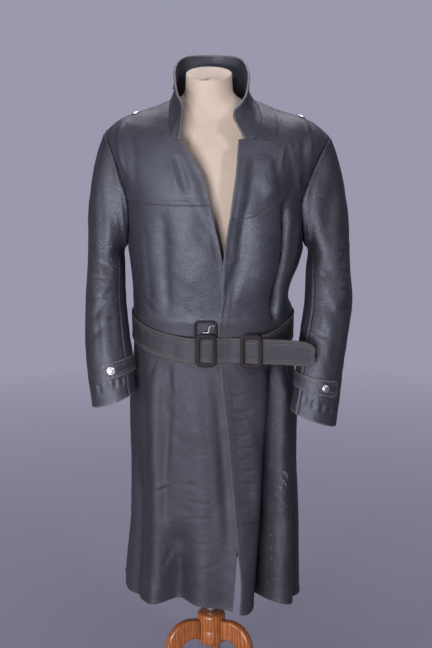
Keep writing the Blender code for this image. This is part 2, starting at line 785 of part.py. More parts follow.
def add_yokes(root):
    """Both front yokes and the back yoke."""
    add_wall("yoke_front_left", front_yoke_grid(1, *LEFT_YOKE_SIZE), "slate_leather", root)
    add_wall("yoke_front_right", front_yoke_grid(-1, *RIGHT_YOKE_SIZE), "slate_leather", root)
    add_wall("yoke_back", back_yoke_grid(*BACK_YOKE_SIZE), "slate_leather", root)


def armhole_point(turn, side):
    """A point of an armhole; turn is 0 on the shoulder, 90 at the front and 180 at the armpit."""
    turn = turn % 360.0
    front = turn <= 180.0
    toward = turn if front else 360.0 - turn
    if toward <= 90.0:
        return yoke_point(side * ARMHOLE_ACROSS, 90.0 - toward, front)
    share = (toward - 90.0) / 90.0
    from_front = ARMHOLE_ANGLE + (90.0 - ARMHOLE_ANGLE) * math.sin(share * math.pi / 2.0)
    angle = side * (from_front if front else 180.0 - from_front)
    return body_point(angle, armhole_height(angle))


def sleeve_ring(rows, height, turn, side):
    """A point of a sleeve below the armpit."""
    x, y, half_width, half_depth, tilt = [read_table(rows, column, height) for column in range(1, 6)]
    turn = np.radians(turn)
    out = half_width * np.cos(turn)
    lean = np.radians(tilt)
    return np.stack([
        x + side * out * np.cos(lean),
        y - half_depth * np.sin(turn),
        height - out * np.sin(lean),
    ], axis=-1)


def sleeve_fold(turn, run):
    """How far the folds move a sleeve out."""
    total = np.zeros(np.broadcast(turn, run).shape)
    for top_turn, top, low_turn, low, half_turn, depth in SLEEVE_FOLDS:
        share = np.clip((run - top) / (low - top), 0.0, 1.0)
        middle = top_turn + (low_turn - top_turn) * share
        aside = ((turn - middle + 180.0) % 360.0 - 180.0) / half_turn
        fade_in = ease((run - top) / SLEEVE_FOLD_FADE + SLEEVE_FOLD_BLUNT)
        fade_out = ease((low - run) / SLEEVE_FOLD_FADE + SLEEVE_FOLD_BLUNT)
        total += depth * fade_in * fade_out * np.exp(-(aside**2))
    return total


def sleeve_start(turn, side):
    """Start of a sleeve at the armhole, and the direction in which it leaves."""
    down = (1.0 - math.cos(math.radians(turn))) / 2.0
    way = Vector((side * (0.45 + 0.5 * down), 0.0, -0.9 + 0.6 * down)).normalized()
    point = Vector(armhole_point(turn, side)) + SLEEVE_START * way
    return np.array(point), np.array(way)


def sleeve_point(turn, run, side):
    """A point of a sleeve; run is 0 at the armhole and 1 at the cuff."""
    rows = sorted(SLEEVE_LEFT if side > 0 else SLEEVE_RIGHT)
    top = rows[-1][0]
    low = rows[0][0]
    if run >= SLEEVE_CAP_SHARE:
        height = top + (low - top) * (run - SLEEVE_CAP_SHARE) / (1.0 - SLEEVE_CAP_SHARE)
        return sleeve_ring(rows, np.asarray(height), turn, side)
    share = run / SLEEVE_CAP_SHARE
    start, way = sleeve_start(turn, side)
    end = sleeve_ring(rows, np.asarray(top), turn, side)
    below = sleeve_ring(rows, np.asarray(top - 0.02), turn, side)
    down = (below - end) / np.linalg.norm(below - end)
    reach = np.linalg.norm(end - start)
    rest = 1.0 - share
    return (
        (1.0 + 2.0 * share) * rest**2 * start
        + share**2 * (3.0 - 2.0 * share) * end
        + share * rest**2 * way * reach
        + share**2 * (share - 1.0) * down * reach
    )


def sleeve_grid(turns, runs, side, lift=0.0):
    """Points of a part of a sleeve with its folds, moved out by lift."""
    plain = np.array([[sleeve_point(turn, run, side) for turn in turns] for run in runs])
    normals = grid_normals(plain) * side
    move = lift + sleeve_fold(np.asarray(turns)[None, :], np.asarray(runs)[:, None])
    return plain + normals * move[:, :, None]


def facing_out(points, side):
    """Turns the columns of a sleeve's grid so that its walls face out."""
    return points if side > 0 else points[:, ::-1]


def add_sleeve(side, name, root):
    """Top sleeve and under sleeve of one side."""
    cap_runs = np.linspace(0.0, SLEEVE_CAP_SHARE, 7)
    arm_runs = np.linspace(SLEEVE_CAP_SHARE, 1.0, 10)
    runs = np.concatenate([cap_runs, arm_runs[1:]])
    top_turns = np.linspace(SLEEVE_BACK_SEAM - 360.0, SLEEVE_FRONT_SEAM, 14)
    under_turns = np.linspace(SLEEVE_FRONT_SEAM, SLEEVE_BACK_SEAM, 11)
    for part, turns in (("top", top_turns), ("under", under_turns)):
        points = facing_out(sleeve_grid(turns, runs, side), side)
        add_wall(f"sleeve_{part}_{name}", points, "slate_leather", root)


def strap_grid(side, name, columns=11, rows=4):
    """Points of a cuff strap on the front of a sleeve, with a rounded outer end."""
    outer, inner, _, high, low = STRAPS[name]
    runs = np.linspace(high, low, rows)
    turns = np.linspace(outer, inner, columns)
    lift = LAY_GAP + STRAP_WALL
    points = sleeve_grid(turns, runs, side, lift)
    middle = points.mean(axis=0)
    narrow = np.ones(columns)
    narrow[:len(STRAP_TIP)] = STRAP_TIP
    return middle + (points - middle) * narrow[None, :, None]


def add_cuff(side, name, root):
    """Strap and button of one cuff."""
    points = strap_grid(side, name)
    add_wall(f"cuff_strap_{name}", facing_out(points, side), "slate_leather", root, STRAP_WALL, 0.0)
    _, _, button, high, low = STRAPS[name]
    turns = np.array([button - 6.0, button, button + 6.0])
    runs = np.array([high, (high + low) / 2.0, low])
    patch = sleeve_grid(turns, runs, side, 2.0 * LAY_GAP + STRAP_WALL)
    add_button(f"cuff_button_{name}", patch[1, 1], grid_normals(patch)[1, 1] * side, root)


def add_button(name, position, direction, root):
    """A turned metal button standing on the cloth."""
    vertices, faces = turned(BUTTON_PROFILE, 14)
    add_object(name, vertices, faces, "silver_metal", root, pointing(position, direction))


def add_shoulder_buttons(root):
    """The metal buttons on the shoulders."""
    for name, across, rise in SHOULDER_BUTTONS:
        patch = yoke_point(
            across + np.array([[-0.01, 0.0, 0.01]] * 3),
            rise + np.array([[-2.0], [0.0], [2.0]]),
            True,
        )
        direction = grid_normals(patch)[1, 1]
        add_button(name, patch[1, 1] - direction * SHOULDER_BUTTON_SINK, direction, root)


def neck_seam():
    """Points of the neck seam on the yokes, and their shares of the collar's length."""
    left = front_yoke_grid(1, *LEFT_YOKE_SIZE)[:, 0]
    left = left[yoke_rises(LEFT_NECK, LEFT_YOKE_SIZE[1]) > COLLAR_CORNER_RISE]
    right = front_yoke_grid(-1, *RIGHT_YOKE_SIZE)[:, -1]
    right = right[yoke_rises(RIGHT_NECK, RIGHT_YOKE_SIZE[1]) > COLLAR_CORNER_RISE][::-1]
    back = back_yoke_grid(*BACK_YOKE_SIZE)[-1]
    back = back[(back[:, 0] < NECK_LEFT_X - 0.003) & (back[:, 0] > NECK_RIGHT_X + 0.003)]
    shares = []
    ends = (0.0, COLLAR_SIDE_SHARE, 1.0 - COLLAR_SIDE_SHARE, 1.0)
    joined = (left, np.concatenate([left[-1:], back, right[:1]]), right)
    for low, high, row in zip(ends[:-1], ends[1:], joined):
        steps = np.linalg.norm(np.diff(row, axis=0), axis=1)
        shares.append(low + (high - low) * np.concatenate([[0.0], np.cumsum(steps)]) / steps.sum())
    return np.concatenate([left, back, right]), np.concatenate([shares[0], shares[1][1:-1], shares[2]])


def collar_grid(rows):
    """Points of the collar from the neck seam to its top edge."""
    base, along = neck_seam()
    table = curve_through(COLLAR_TOP, along)
    top, bulge = table[:, :3], table[:, 3:]
    share = np.linspace(0.0, 1.0, rows)[:, None, None]
    plain = base[None] + (top - base)[None] * share
    return plain + grid_normals(plain) * bulge * np.sin(np.pi * share)


def add_collar(root):
    """The stand-up collar, open at the front, with its button."""
    points = collar_grid(6)
    add_wall("collar", points, "slate_leather", root, COLLAR_WALL, 2.0 * SEAM_GAP)
    row = round(COLLAR_BUTTON[1] * (points.shape[0] - 1))
    column = round(COLLAR_BUTTON[0] * (points.shape[1] - 1))
    direction = grid_normals(points)[row, column]
    vertices, faces = turned(COLLAR_BUTTON_PROFILE, 16)
    place = pointing(points[row, column] + direction * COLLAR_BUTTON_GAP, direction)
    add_object("collar_button", vertices, faces, "horn", root, place)


def belt_lift(angle):
    """How far the belt strap stands out of the plain body, to reach both buckles."""
    turn = (angle + 180.0) % 360.0 - 180.0
    low, high = BELT_RISE_ANGLES
    to_right_buckle = BELT_OVER_LIFT * ease((turn - low) / (high - low)) * (turn < 0.0)
    to_left_buckle = BELT_OFF_LIFT * ease((BELT_OFF_ANGLE - turn) / (BELT_OFF_ANGLE - BELT_START_ANGLE))
    return to_right_buckle + to_left_buckle * (turn > 0.0)


def strap_over_body(angles, lift, rows=3):
    """Points of a strap round the waist, lift above the plain body."""
    step = np.linspace(-0.5, 0.5, rows)[:, None] * BELT_WIDTH
    height = belt_height(angles)[None, :] + step
    return body_point(angles[None, :], height, lift[None, :])


def tongue_grid():
    """Points of the tongue, from behind the first buckle to its free end."""
    laid = np.linspace(TONGUE_START_ANGLE, TONGUE_LEAVE_ANGLE, 7)
    middle = strap_over_body(laid, left_lift(laid) + BELT_GAP + BELT_WALL)[1]
    free = curve_through([middle[-1], *TONGUE_FREE], np.linspace(0.0, 1.0, 14))
    path = np.concatenate([middle, free[1:]])
    narrow = np.ones(len(path))
    narrow[-len(TONGUE_TIP):] = TONGUE_TIP
    across = np.linspace(-0.5, 0.5, 3)[:, None] * BELT_WIDTH * narrow[None, :]
    points = np.repeat(path[None], 3, axis=0)
    points[:, :, 2] += across
    return points


def add_belt(root):
    """The belt strap, the tongue with its free end, the buckle frames and the prong."""
    angles = np.linspace(BELT_START_ANGLE, BELT_END_ANGLE, 58)
    strap = strap_over_body(angles, belt_lift(angles) + BELT_GAP + BELT_WALL)
    add_wall("belt_strap", strap, "belt_leather", root, BELT_WALL, 0.0)
    add_wall("belt_tongue", tongue_grid(), "belt_leather", root, BELT_WALL, 0.0)
    for name, x, y, height, *sizes in BUCKLES:
        vertices, faces = frame_solid(*sizes)
        place = Matrix.Translation((x, y, height))
        add_object(name, vertices, faces, "belt_leather", root, place)
    vertices, faces = wire_solid(np.array(PRONG_PATH), PRONG_RADIUS)
    add_object("under_buckle_prong", vertices, faces, "silver_metal", root)


def frame_solid(width, tall, bar_half, thick_half):
    """A rectangular frame with round bars and round corners in the XZ plane."""
    around = np.linspace(0.0, 2.0 * math.pi, 8, endpoint=False)
    vertices = []
    for turn, sign_x, sign_z in ((0.0, 1, 1), (90.0, -1, 1), (180.0, -1, -1), (270.0, 1, -1)):
        centre_x = sign_x * (width / 2.0 - bar_half - FRAME_CORNER)
        centre_z = sign_z * (tall / 2.0 - bar_half - FRAME_CORNER)
        for corner_angle in np.radians(turn + np.linspace(0.0, 90.0, 4)):
            for angle in around:
                reach = FRAME_CORNER + bar_half * math.cos(angle)
                x = centre_x + reach * math.cos(corner_angle)
                z = centre_z + reach * math.sin(corner_angle)
                vertices.append((x, thick_half * math.sin(angle), z))
    size = len(around)
    count = len(vertices) // size
    faces = []
    for i in range(count):
        for j in range(size):
            k = (j + 1) % size
            n = (i + 1) % count
            faces.append((i * size + j, i * size + k, n * size + k, n * size + j))
    return vertices, faces


def wire_solid(path, radius, size=8):
    """A round wire along a path that lies near the XZ plane."""
    along = np.gradient(path, axis=0)
    along /= np.linalg.norm(along, axis=1, keepdims=True)
    front = np.array([0.0, -1.0, 0.0])
    aside = np.cross(along, front)
    aside /= np.linalg.norm(aside, axis=1, keepdims=True)
    up = np.cross(aside, along)
    angles = np.linspace(2.0 * math.pi, 0.0, size, endpoint=False)[None, :, None]
    rings = path[:, None] + radius * (np.cos(angles) * aside[:, None] + np.sin(angles) * up[:, None])
    return ring_stack(rings)


def add_form(root):
    """The limbless dress form, torso and neck in one."""
    low, top = FORM_SECTIONS[0][0], FORM_SECTIONS[-1][0]
    heights = np.concatenate([np.linspace(low, FORM_CHEST_TOP, 10), np.linspace(FORM_SHOULDER, top, 8)])
    angles = np.linspace(0.0, 2.0 * math.pi, 32, endpoint=False)
    rings = []
    for height in heights:
        half, front, back = [read_table(FORM_SECTIONS, column, height) for column in (1, 2, 3)]
        y = np.where(np.sin(angles) < 0.0, -front, back) * np.sin(angles)
        tilt = NECK_SLOPE * ease((height - NECK_SLOPE_FROM) / (top - NECK_SLOPE_FROM))
        rings.append(np.stack([FORM_AXIS_X + half * np.cos(angles), y, height + tilt * y], axis=-1))
    vertices, faces = ring_stack(rings)
    add_object("form_torso", vertices, faces, "cream_cover", root)


def add_stand(root):
    """Pole, hub and three curved legs."""
    pole = [
        (POLE_RADIUS, HUB_PROFILE[-1][1] + SEAM_GAP),
        (POLE_RADIUS, FORM_SECTIONS[0][0] - SEAM_GAP),
    ]
    vertices, faces = turned(pole, 20)
    add_object("form_pole", vertices, faces, "silver_metal", root)
    vertices, faces = turned(HUB_PROFILE, 32)
    add_object("stand_hub", vertices, faces, "varnished_wood", root)
    for name, angle in LEG_ANGLES.items():
        vertices, faces = leg_solid()
        place = Matrix.Rotation(math.radians(angle), 4, "Z")
        add_object(name, vertices, faces, "varnished_wood", root, place)


def leg_solid():
    """A flat board cut to a curve, reaching out along X."""
    half = LEG_THICKNESS / 2.0
    vertices = []
    for upper_x, upper_z, lower_x, lower_z in LEG_CURVE:
        vertices.append((upper_x, -half, upper_z))
        vertices.append((upper_x, half, upper_z))
        vertices.append((lower_x, half, lower_z))
        vertices.append((lower_x, -half, lower_z))
    faces = [(0, 1, 2, 3)]
    for i in range(len(LEG_CURVE) - 1):
        for j in range(4):
            k = (j + 1) % 4
            faces.append((4 * i + j, 4 * i + 4 + j, 4 * i + 4 + k, 4 * i + k))
    last = 4 * (len(LEG_CURVE) - 1)
    faces.append((last + 3, last + 2, last + 1, last))
    return vertices, faces


def clear_scene():
    """Removes what the scene holds."""
    for item in list(bpy.data.objects):
        bpy.data.objects.remove(item, do_unlink=True)


def main():
    """Builds the coat, its belt, the form and the stand."""
    clear_scene()
    root = bpy.data.objects.new("coat_on_form", None)
    bpy.context.scene.collection.objects.link(root)
    root.location = CENTRE_SHIFT
    add_form(root)
    add_stand(root)
    add_body(root)
    add_yokes(root)
    for side, name in ((1, "left"), (-1, "right")):
        add_sleeve(side, name, root)
        add_cuff(side, name, root)
    add_shoulder_buttons(root)
    add_collar(root)
    add_belt(root)


main()
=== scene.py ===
"""Looks of a long leather coat on a dress form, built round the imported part.

Lengths are metres, angles in tables are degrees, +Z is up and the coat's front faces -Y.
Points are worked out round the form's axis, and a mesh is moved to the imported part's axis when it is made.
An angle round the body is 0 at the front, 90 at the wearer's left and 180 at the back.
"""
import math

import bpy
import numpy as np
from mathutils import Matrix, Vector


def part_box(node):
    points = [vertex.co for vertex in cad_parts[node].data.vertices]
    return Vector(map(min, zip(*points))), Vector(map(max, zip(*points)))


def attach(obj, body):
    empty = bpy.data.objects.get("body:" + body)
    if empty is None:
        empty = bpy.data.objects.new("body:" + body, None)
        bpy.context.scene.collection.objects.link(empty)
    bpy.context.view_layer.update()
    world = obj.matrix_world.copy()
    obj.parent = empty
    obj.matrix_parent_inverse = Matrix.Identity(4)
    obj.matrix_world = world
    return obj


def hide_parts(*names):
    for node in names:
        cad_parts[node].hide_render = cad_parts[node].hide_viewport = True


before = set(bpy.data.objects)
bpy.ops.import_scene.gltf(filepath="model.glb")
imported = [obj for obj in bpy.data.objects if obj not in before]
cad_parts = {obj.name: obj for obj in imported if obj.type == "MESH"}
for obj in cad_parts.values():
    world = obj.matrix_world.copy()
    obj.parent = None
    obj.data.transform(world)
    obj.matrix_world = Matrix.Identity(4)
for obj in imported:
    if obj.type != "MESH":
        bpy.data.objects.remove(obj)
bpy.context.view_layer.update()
POLE_LOW, POLE_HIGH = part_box("form_pole")
AXIS = np.array([(POLE_LOW.x + POLE_HIGH.x) / 2.0, (POLE_LOW.y + POLE_HIGH.y) / 2.0, 0.0])

# Camera at the photo's viewing angle, placed from the form's axis, for a picture of 432 by 648
CAMERA_PLACE = (0.0115, -3.25, 1.70)
CAMERA_PITCH = 12.66
CAMERA_LENS = 80.46

# Cloth walls, and the spacing of a shell's points inside a panel and next to its edges
WALL = 0.002
COLLAR_WALL = 0.003
STRAP_WALL = 0.0025
BELT_WALL = 0.003
SEAM_GAP = 0.0003
LAY_GAP = 0.0006
STEP = 0.0042
BACK_STEP = 0.0055
COLLAR_STEP = 0.0035
NARROW_STEP = 0.003
NEAR_EDGE = np.array([0.0, 0.0007, 0.0016, 0.0030, 0.0048, 0.0070])

# Edges: rounds of softening, wear of the body's panels, bulge of a folded rim as a share of the wall, and
# degrees that a yoke's even rows keep clear of the rows at its corners
EDGE_SOFTENING = 6
EDGE_WORN = 0.4
RIM_BULGE = 0.45
CORNER_CLEAR = 0.45

# Nominal sizes of the panels, which set how many points their grids have
SPANS = {
    "skirt_left": 0.34,
    "skirt_right": 0.36,
    "skirt_back": 0.62,
    "chest_left": 0.22,
    "chest_right": 0.24,
    "front_yoke": 0.19,
    "front_yoke_rise": 0.25,
    "back_yoke": 0.47,
    "back_yoke_rise": 0.24,
    "sleeve_length": 0.66,
    "sleeve_top": 0.21,
    "sleeve_under": 0.17,
    "strap_length": 0.12,
    "strap_width": 0.034,
    "tongue": 0.19,
}
ARMHOLE_COLUMNS = 20
BACK_ARMHOLE_COLUMNS = 18
BACK_COLUMNS = 66
FINE_COLUMNS = 600
CUFF_STRAP_STEPS = (0.0025, 0.002)
BELT_RUN_STEP = 0.005
TONGUE_LAID_COLUMNS = 24
TONGUE_STEP = 0.004

# Points round and along the turned, bent and board pieces
BUTTON_SIDES = 40
COLLAR_BUTTON_SIDES = 32
POLE_SIDES = 40
HUB_SIDES = 64
WIRE_SIDES = 14
WIRE_ROWS = 30
FRAME_SIDES = 20
FRAME_CORNER_ROWS = 9
FORM_SIDES = 96
FORM_ROWS = 90
CAP_ROWS = 7
LEG_SIDES = 28
LEG_ROWS = 70
FOOT_ROWS = 6
FLOOR_SIDES = 64

# Heights of the seams; the yoke seam of the left front drops towards its edge
WAIST_HEIGHT = 1.000
YOKE_HEIGHT = 1.266
YOKE_SLANT = 0.029
YOKE_LEVEL_ANGLE = 38.0
YOKE_LOW_ANGLE = 12.0
YOKE_SLANT_RISE = 18.0
ARMPIT_HEIGHT = 1.155
HEM = [
    # angle, height
    (-180.0, 0.335),
    (-90.0, 0.345),
    (-55.0, 0.342),
    (-35.0, 0.344),
    (-20.0, 0.353),
    (-8.0, 0.350),
    (10.0, 0.337),
    (16.0, 0.331),
    (28.0, 0.345),
    (40.0, 0.342),
    (52.0, 0.332),
    (75.0, 0.323),
    (90.0, 0.323),
    (180.0, 0.335),
]

# Plan of the coat at each height: x of the right and left sides, y of the front and back
BODY_SECTIONS = [
    # height, right_x, left_x, front_y, back_y
    (0.320, -0.205, 0.211, -0.166, 0.172),
    (0.500, -0.189, 0.206, -0.158, 0.160),
    (0.690, -0.187, 0.199, -0.150, 0.152),
    (0.800, -0.187, 0.199, -0.146, 0.147),
    (0.850, -0.185, 0.196, -0.143, 0.143),
    (0.900, -0.179, 0.188, -0.138, 0.136),
    (1.015, -0.177, 0.186, -0.138, 0.136),
    (1.065, -0.178, 0.188, -0.143, 0.140),
    (1.150, -0.187, 0.209, -0.151, 0.146),
    (1.266, -0.196, 0.213, -0.155, 0.148),
]
SQUARENESS = 2.4

# Front edges, x at each height; the left front lies over the right one
LEFT_EDGE = [
    # height, x
    (0.320, 0.062),
    (0.393, 0.066),
    (0.509, 0.056),
    (0.718, 0.038),
    (0.900, 0.020),
    (1.012, 0.018),
    (1.058, 0.024),
    (1.146, 0.028),
    (1.212, 0.037),
    (1.266, 0.0465),
    (1.330, 0.055),
    (1.400, 0.060),
]
RIGHT_EDGE = [
    # height, x
    (0.320, 0.046),
    (0.435, 0.055),
    (1.000, 0.045),
    (1.146, 0.024),
    (1.234, 0.006),
    (1.266, -0.002),
    (1.309, -0.013),
    (1.352, -0.035),
    (1.407, -0.067),
]
LEFT_LIFT = 0.0055
LIFT_FULL_ANGLE = 22.0
LIFT_NONE_ANGLE = 48.0

# Shoulder line seen from the front
SHOULDER_LINE = [
    # x, height
    (-0.240, 1.405),
    (-0.207, 1.434),
    (-0.163, 1.453),
    (-0.117, 1.469),
    (-0.085, 1.483),
    (0.000, 1.515),
    (0.090, 1.482),
    (0.147, 1.459),
    (0.205, 1.442),
    (0.240, 1.422),
    (0.268, 1.396),
]
SHOULDER_CENTRE = 0.0147
SHOULDER_HALF = 0.2513
ARMHOLE_ACROSS = 0.941
NECK_LEFT_X = 0.094
NECK_RIGHT_X = -0.088
NECK_BACK_RISE = 60.0
NECK_CLEAR = 0.003

# Neck seam of each front: rise is the turn from the yoke seam (0) to the shoulder top (90)
LEFT_NECK = [
    # rise, x
    (0.0, 0.0465),
    (18.0, 0.055),
    (37.0, 0.060),
    (38.0, 0.073),
    (40.0, 0.098),
    (55.0, 0.112),
    (75.0, 0.106),
    (90.0, NECK_LEFT_X),
]
RIGHT_NECK = [
    # rise, x
    (0.0, -0.002),
    (12.0, -0.013),
    (23.0, -0.035),
    (38.0, -0.067),
    (41.0, -0.086),
    (55.0, -0.092),
    (75.0, -0.091),
    (90.0, NECK_RIGHT_X),
]

# The largest folds: depth is out of the body when positive
FOLDS = [
    # top_angle, top_height, low_angle, low_height, half_width, top_depth, low_depth
    # Wearer's right chest and yoke
    (-28.5, 1.270, -30.0, 1.000, 0.014, -0.0040, -0.0046),
    (-46.0, 1.230, -47.0, 1.010, 0.012, -0.0016, -0.0020),
    (-18.0, 1.395, -11.5, 1.250, 0.010, -0.0022, -0.0034),
    (-11.5, 1.270, 0.0, 1.130, 0.010, -0.0034, -0.0022),
    (-51.0, 1.440, -62.0, 1.310, 0.010, 0.002, 0.003),
    (-40.0, 1.450, -52.0, 1.270, 0.012, -0.002, -0.002),
    # Wearer's left chest and yoke
    (45.5, 1.290, 46.0, 0.980, 0.012, -0.015, -0.026),
    (63.0, 1.270, 55.0, 1.000, 0.018, 0.004, 0.004),
    (18.5, 1.410, 16.0, 1.240, 0.010, -0.0008, -0.0040),
    (16.0, 1.270, 8.5, 1.030, 0.010, -0.0034, -0.0030),
    (29.0, 1.400, 34.0, 1.240, 0.016, 0.0004, 0.003),
    (45.0, 1.400, 50.0, 1.250, 0.014, -0.0004, -0.003),
    (88.0, 1.115, 88.0, 0.960, 0.070, -0.011, -0.011),
    # Wearer's left skirt
    (46.0, 0.930, 31.0, 0.320, 0.022, -0.020, -0.082),
    (56.0, 0.900, 50.0, 0.320, 0.028, 0.000, 0.014),
    (12.0, 0.620, 15.0, 0.320, 0.030, 0.004, 0.016),
    (70.0, 0.700, 72.0, 0.320, 0.022, -0.004, -0.014),
    # Wearer's right skirt
    (-21.0, 0.560, -20.0, 0.320, 0.028, -0.006, -0.034),
    (-30.0, 0.930, -31.0, 0.520, 0.014, -0.0040, -0.0030),
    (-40.0, 0.920, -37.0, 0.320, 0.022, 0.006, 0.012),
    (-6.0, 0.900, -4.0, 0.320, 0.024, 0.003, 0.010),
    (-62.0, 0.760, -60.0, 0.320, 0.024, -0.005, -0.014),
    # Back
    (112.0, 0.860, 110.0, 0.320, 0.026, 0.006, 0.012),
    (138.0, 0.930, 134.0, 0.320, 0.026, -0.010, -0.040),
    (160.0, 0.880, 158.0, 0.320, 0.030, 0.006, 0.014),
    (184.0, 0.920, 182.0, 0.320, 0.026, -0.006, -0.028),
    (208.0, 0.860, 211.0, 0.320, 0.030, 0.006, 0.014),
    (229.0, 0.930, 234.0, 0.320, 0.026, -0.010, -0.038),
    (252.0, 0.800, 254.0, 0.320, 0.026, 0.005, 0.012),
    (136.0, 1.230, 142.0, 1.000, 0.016, -0.004, -0.010),
    (222.0, 1.240, 216.0, 1.000, 0.016, -0.004, -0.010),
    (168.0, 1.120, 170.0, 0.990, 0.016, -0.003, -0.008),
]
FOLD_FADE = 0.07
FOLD_OPEN_BELOW = 0.33
FOLD_SPREAD_HEIGHT = 0.42
FOLD_RADIUS = 0.185

# Belt: its centre line dips towards the front
BELT_SIDE_HEIGHT = 0.976
BELT_FRONT_DROP = 0.035
BELT_BACK_RISE = 0.006
BELT_WIDTH = 0.055
BELT_GAP = 0.0013
BELT_START_ANGLE = 30.0
BELT_OFF_ANGLE = 60.0
BELT_OFF_LIFT = 0.018
BELT_END_ANGLE = 351.0
BELT_CLEAR = 0.004
BELT_PINCH = 0.030
BELT_RISE_ANGLES = (-26.0, -14.0)
BELT_OVER_LIFT = 0.0072
BELT_RELIEF = 0.8
TONGUE_START_ANGLE = -7.0
TONGUE_LEAVE_ANGLE = 9.0
TONGUE_FREE = [
    # x, y, height
    (0.089, -0.1485, 0.941),
    (0.130, -0.1495, 0.940),
    (0.180, -0.1510, 0.938),
    (0.229, -0.1530, 0.933),
]
TONGUE_TIP_LENGTH = 0.030
TONGUE_TIP_NARROW = 0.45

# Buckle frames: place of the centre, outer size, half width and half thickness of the bars
BUCKLES = [
    # name, x, y, height, width, tall, bar_half, thick_half
    ("belt_buckle_right", -0.0107, -0.1493, 0.942, 0.047, 0.074, 0.0050, 0.0030),
    ("belt_buckle_left", 0.0890, -0.1523, 0.941, 0.050, 0.076, 0.0050, 0.0030),
    ("under_buckle", -0.0120, -0.1403, 0.977, 0.052, 0.064, 0.0032, 0.0016),
]
FRAME_CORNER = 0.008
FRAME_FLATNESS = 0.75
FRAME_WEAR_WIDTH = 0.16
FRAME_RUB = 0.4
PRONG_PATH = [
    # x, y, height
    (-0.0190, -0.1445, 0.9825),
    (-0.0060, -0.1450, 0.9825),
    (-0.0040, -0.1455, 0.9860),
    (-0.0035, -0.1460, 0.9930),
    (0.0010, -0.1450, 0.9975),
    (0.0105, -0.1434, 0.9985),
]
PRONG_RADIUS = 0.0012

# Sleeve rings from below the armpit to the cuff
SLEEVE_LEFT = [
    # height, x, y, half_width, half_depth, tilt
    (0.779, 0.2305, -0.101, 0.0555, 0.0450, 20.0),
    (0.830, 0.2380, -0.092, 0.0535, 0.0500, 16.0),
    (0.890, 0.2450, -0.078, 0.0535, 0.0560, 10.0),
    (0.960, 0.2560, -0.058, 0.0545, 0.0620, 5.0),
    (1.030, 0.2665, -0.036, 0.0540, 0.0690, 2.0),
    (1.100, 0.2665, -0.012, 0.0510, 0.0740, 4.0),
]
SLEEVE_RIGHT = [
    # height, x, y, half_width, half_depth, tilt
    (0.822, -0.2180, -0.101, 0.0520, 0.0450, 20.0),
    (0.860, -0.2235, -0.092, 0.0530, 0.0500, 16.0),
    (0.910, -0.2290, -0.078, 0.0530, 0.0560, 10.0),
    (0.975, -0.2350, -0.058, 0.0500, 0.0620, 5.0),
    (1.040, -0.2375, -0.036, 0.0455, 0.0690, 2.0),
    (1.110, -0.2370, -0.012, 0.0430, 0.0740, 4.0),
]
SLEEVE_FRONT_SEAM = 136.0
SLEEVE_BACK_SEAM = 292.0
SLEEVE_CAP_SHARE = 0.40
SLEEVE_START = 0.0006

# Way in which a sleeve leaves the armhole, on the shoulder and at the armpit, and the drop below the armpit
# over which its fall is measured
LEAVE_OUT = (0.45, 0.95)
LEAVE_UP = (-0.9, -0.3)
LEAVE_FALL = 0.02

# Sleeve folds: turn is 0 at the outer side and 90 at the front, run is 0 at the armhole and 1 at the cuff
SLEEVE_FOLDS = [
    # top_turn, top_run, low_turn, low_run, half_turn, depth
    (62.0, 0.10, 100.0, 0.42, 15.0, -0.003),
    (20.0, 0.20, 60.0, 0.52, 16.0, 0.003),
    (110.0, 0.48, 60.0, 0.62, 15.0, -0.003),
    (100.0, 0.62, 40.0, 0.72, 15.0, -0.002),
    (225.0, 0.30, 258.0, 0.56, 15.0, -0.006),
    (256.0, 0.60, 215.0, 0.72, 15.0, -0.004),
]
SLEEVE_FOLD_FADE = 0.08
SLEEVE_FOLD_BLUNT = 0.4

# Top of the collar, from the wearer's left front round the back to the right front
COLLAR_TOP = [
    # x, y, height, bulge
    (0.0460, -0.1120, 1.4620, -0.001),
    (0.0720, -0.0860, 1.4860, -0.005),
    (0.0840, -0.0420, 1.5140, -0.009),
    (0.0850, 0.0100, 1.5440, -0.008),
    (0.0640, 0.0620, 1.5690, -0.003),
    (0.0030, 0.0850, 1.5740, 0.002),
    (-0.0590, 0.0620, 1.5710, -0.002),
    (-0.0800, 0.0100, 1.5530, -0.006),
    (-0.0800, -0.0420, 1.5230, -0.007),
    (-0.0740, -0.0800, 1.4960, -0.005),
    (-0.0610, -0.1040, 1.4800, 0.000),
]
COLLAR_CORNER_RISE = 37.5
COLLAR_SIDE_SHARE = 0.3
COLLAR_HEIGHT = 0.09
COLLAR_ROLL = 0.0022
COLLAR_ROLL_FLAT = 0.003
COLLAR_ROLL_FADE = 0.006
COLLAR_CORNER = 0.014
COLLAR_ROWS = (0.0090, 0.0140, 0.0190, 0.0240)
COLLAR_ROW_ENDS = (0.24, 0.76)
COLLAR_BUTTON_PROFILE = [
    # radius, height
    (0.0055, 0.0000),
    (0.0060, 0.0006),
    (0.0062, 0.0012),
    (0.0062, 0.0030),
    (0.0059, 0.0037),
    (0.0052, 0.0041),
    (0.0044, 0.0040),
    (0.0038, 0.0036),
    (0.0020, 0.0035),
]

# Cuff straps: turns of the outer end, inner end and button, and their place along the sleeve
STRAPS = {
    # name: outer_turn, inner_turn, button_turn, high_run, low_run
    "left": (40.0, 168.0, 76.0, 0.822, 0.886),
    "right": (74.0, 172.0, 96.0, 0.815, 0.889),
}
STRAP_TIP_SHARE = 0.10
STRAP_TIP_NARROW = 0.45

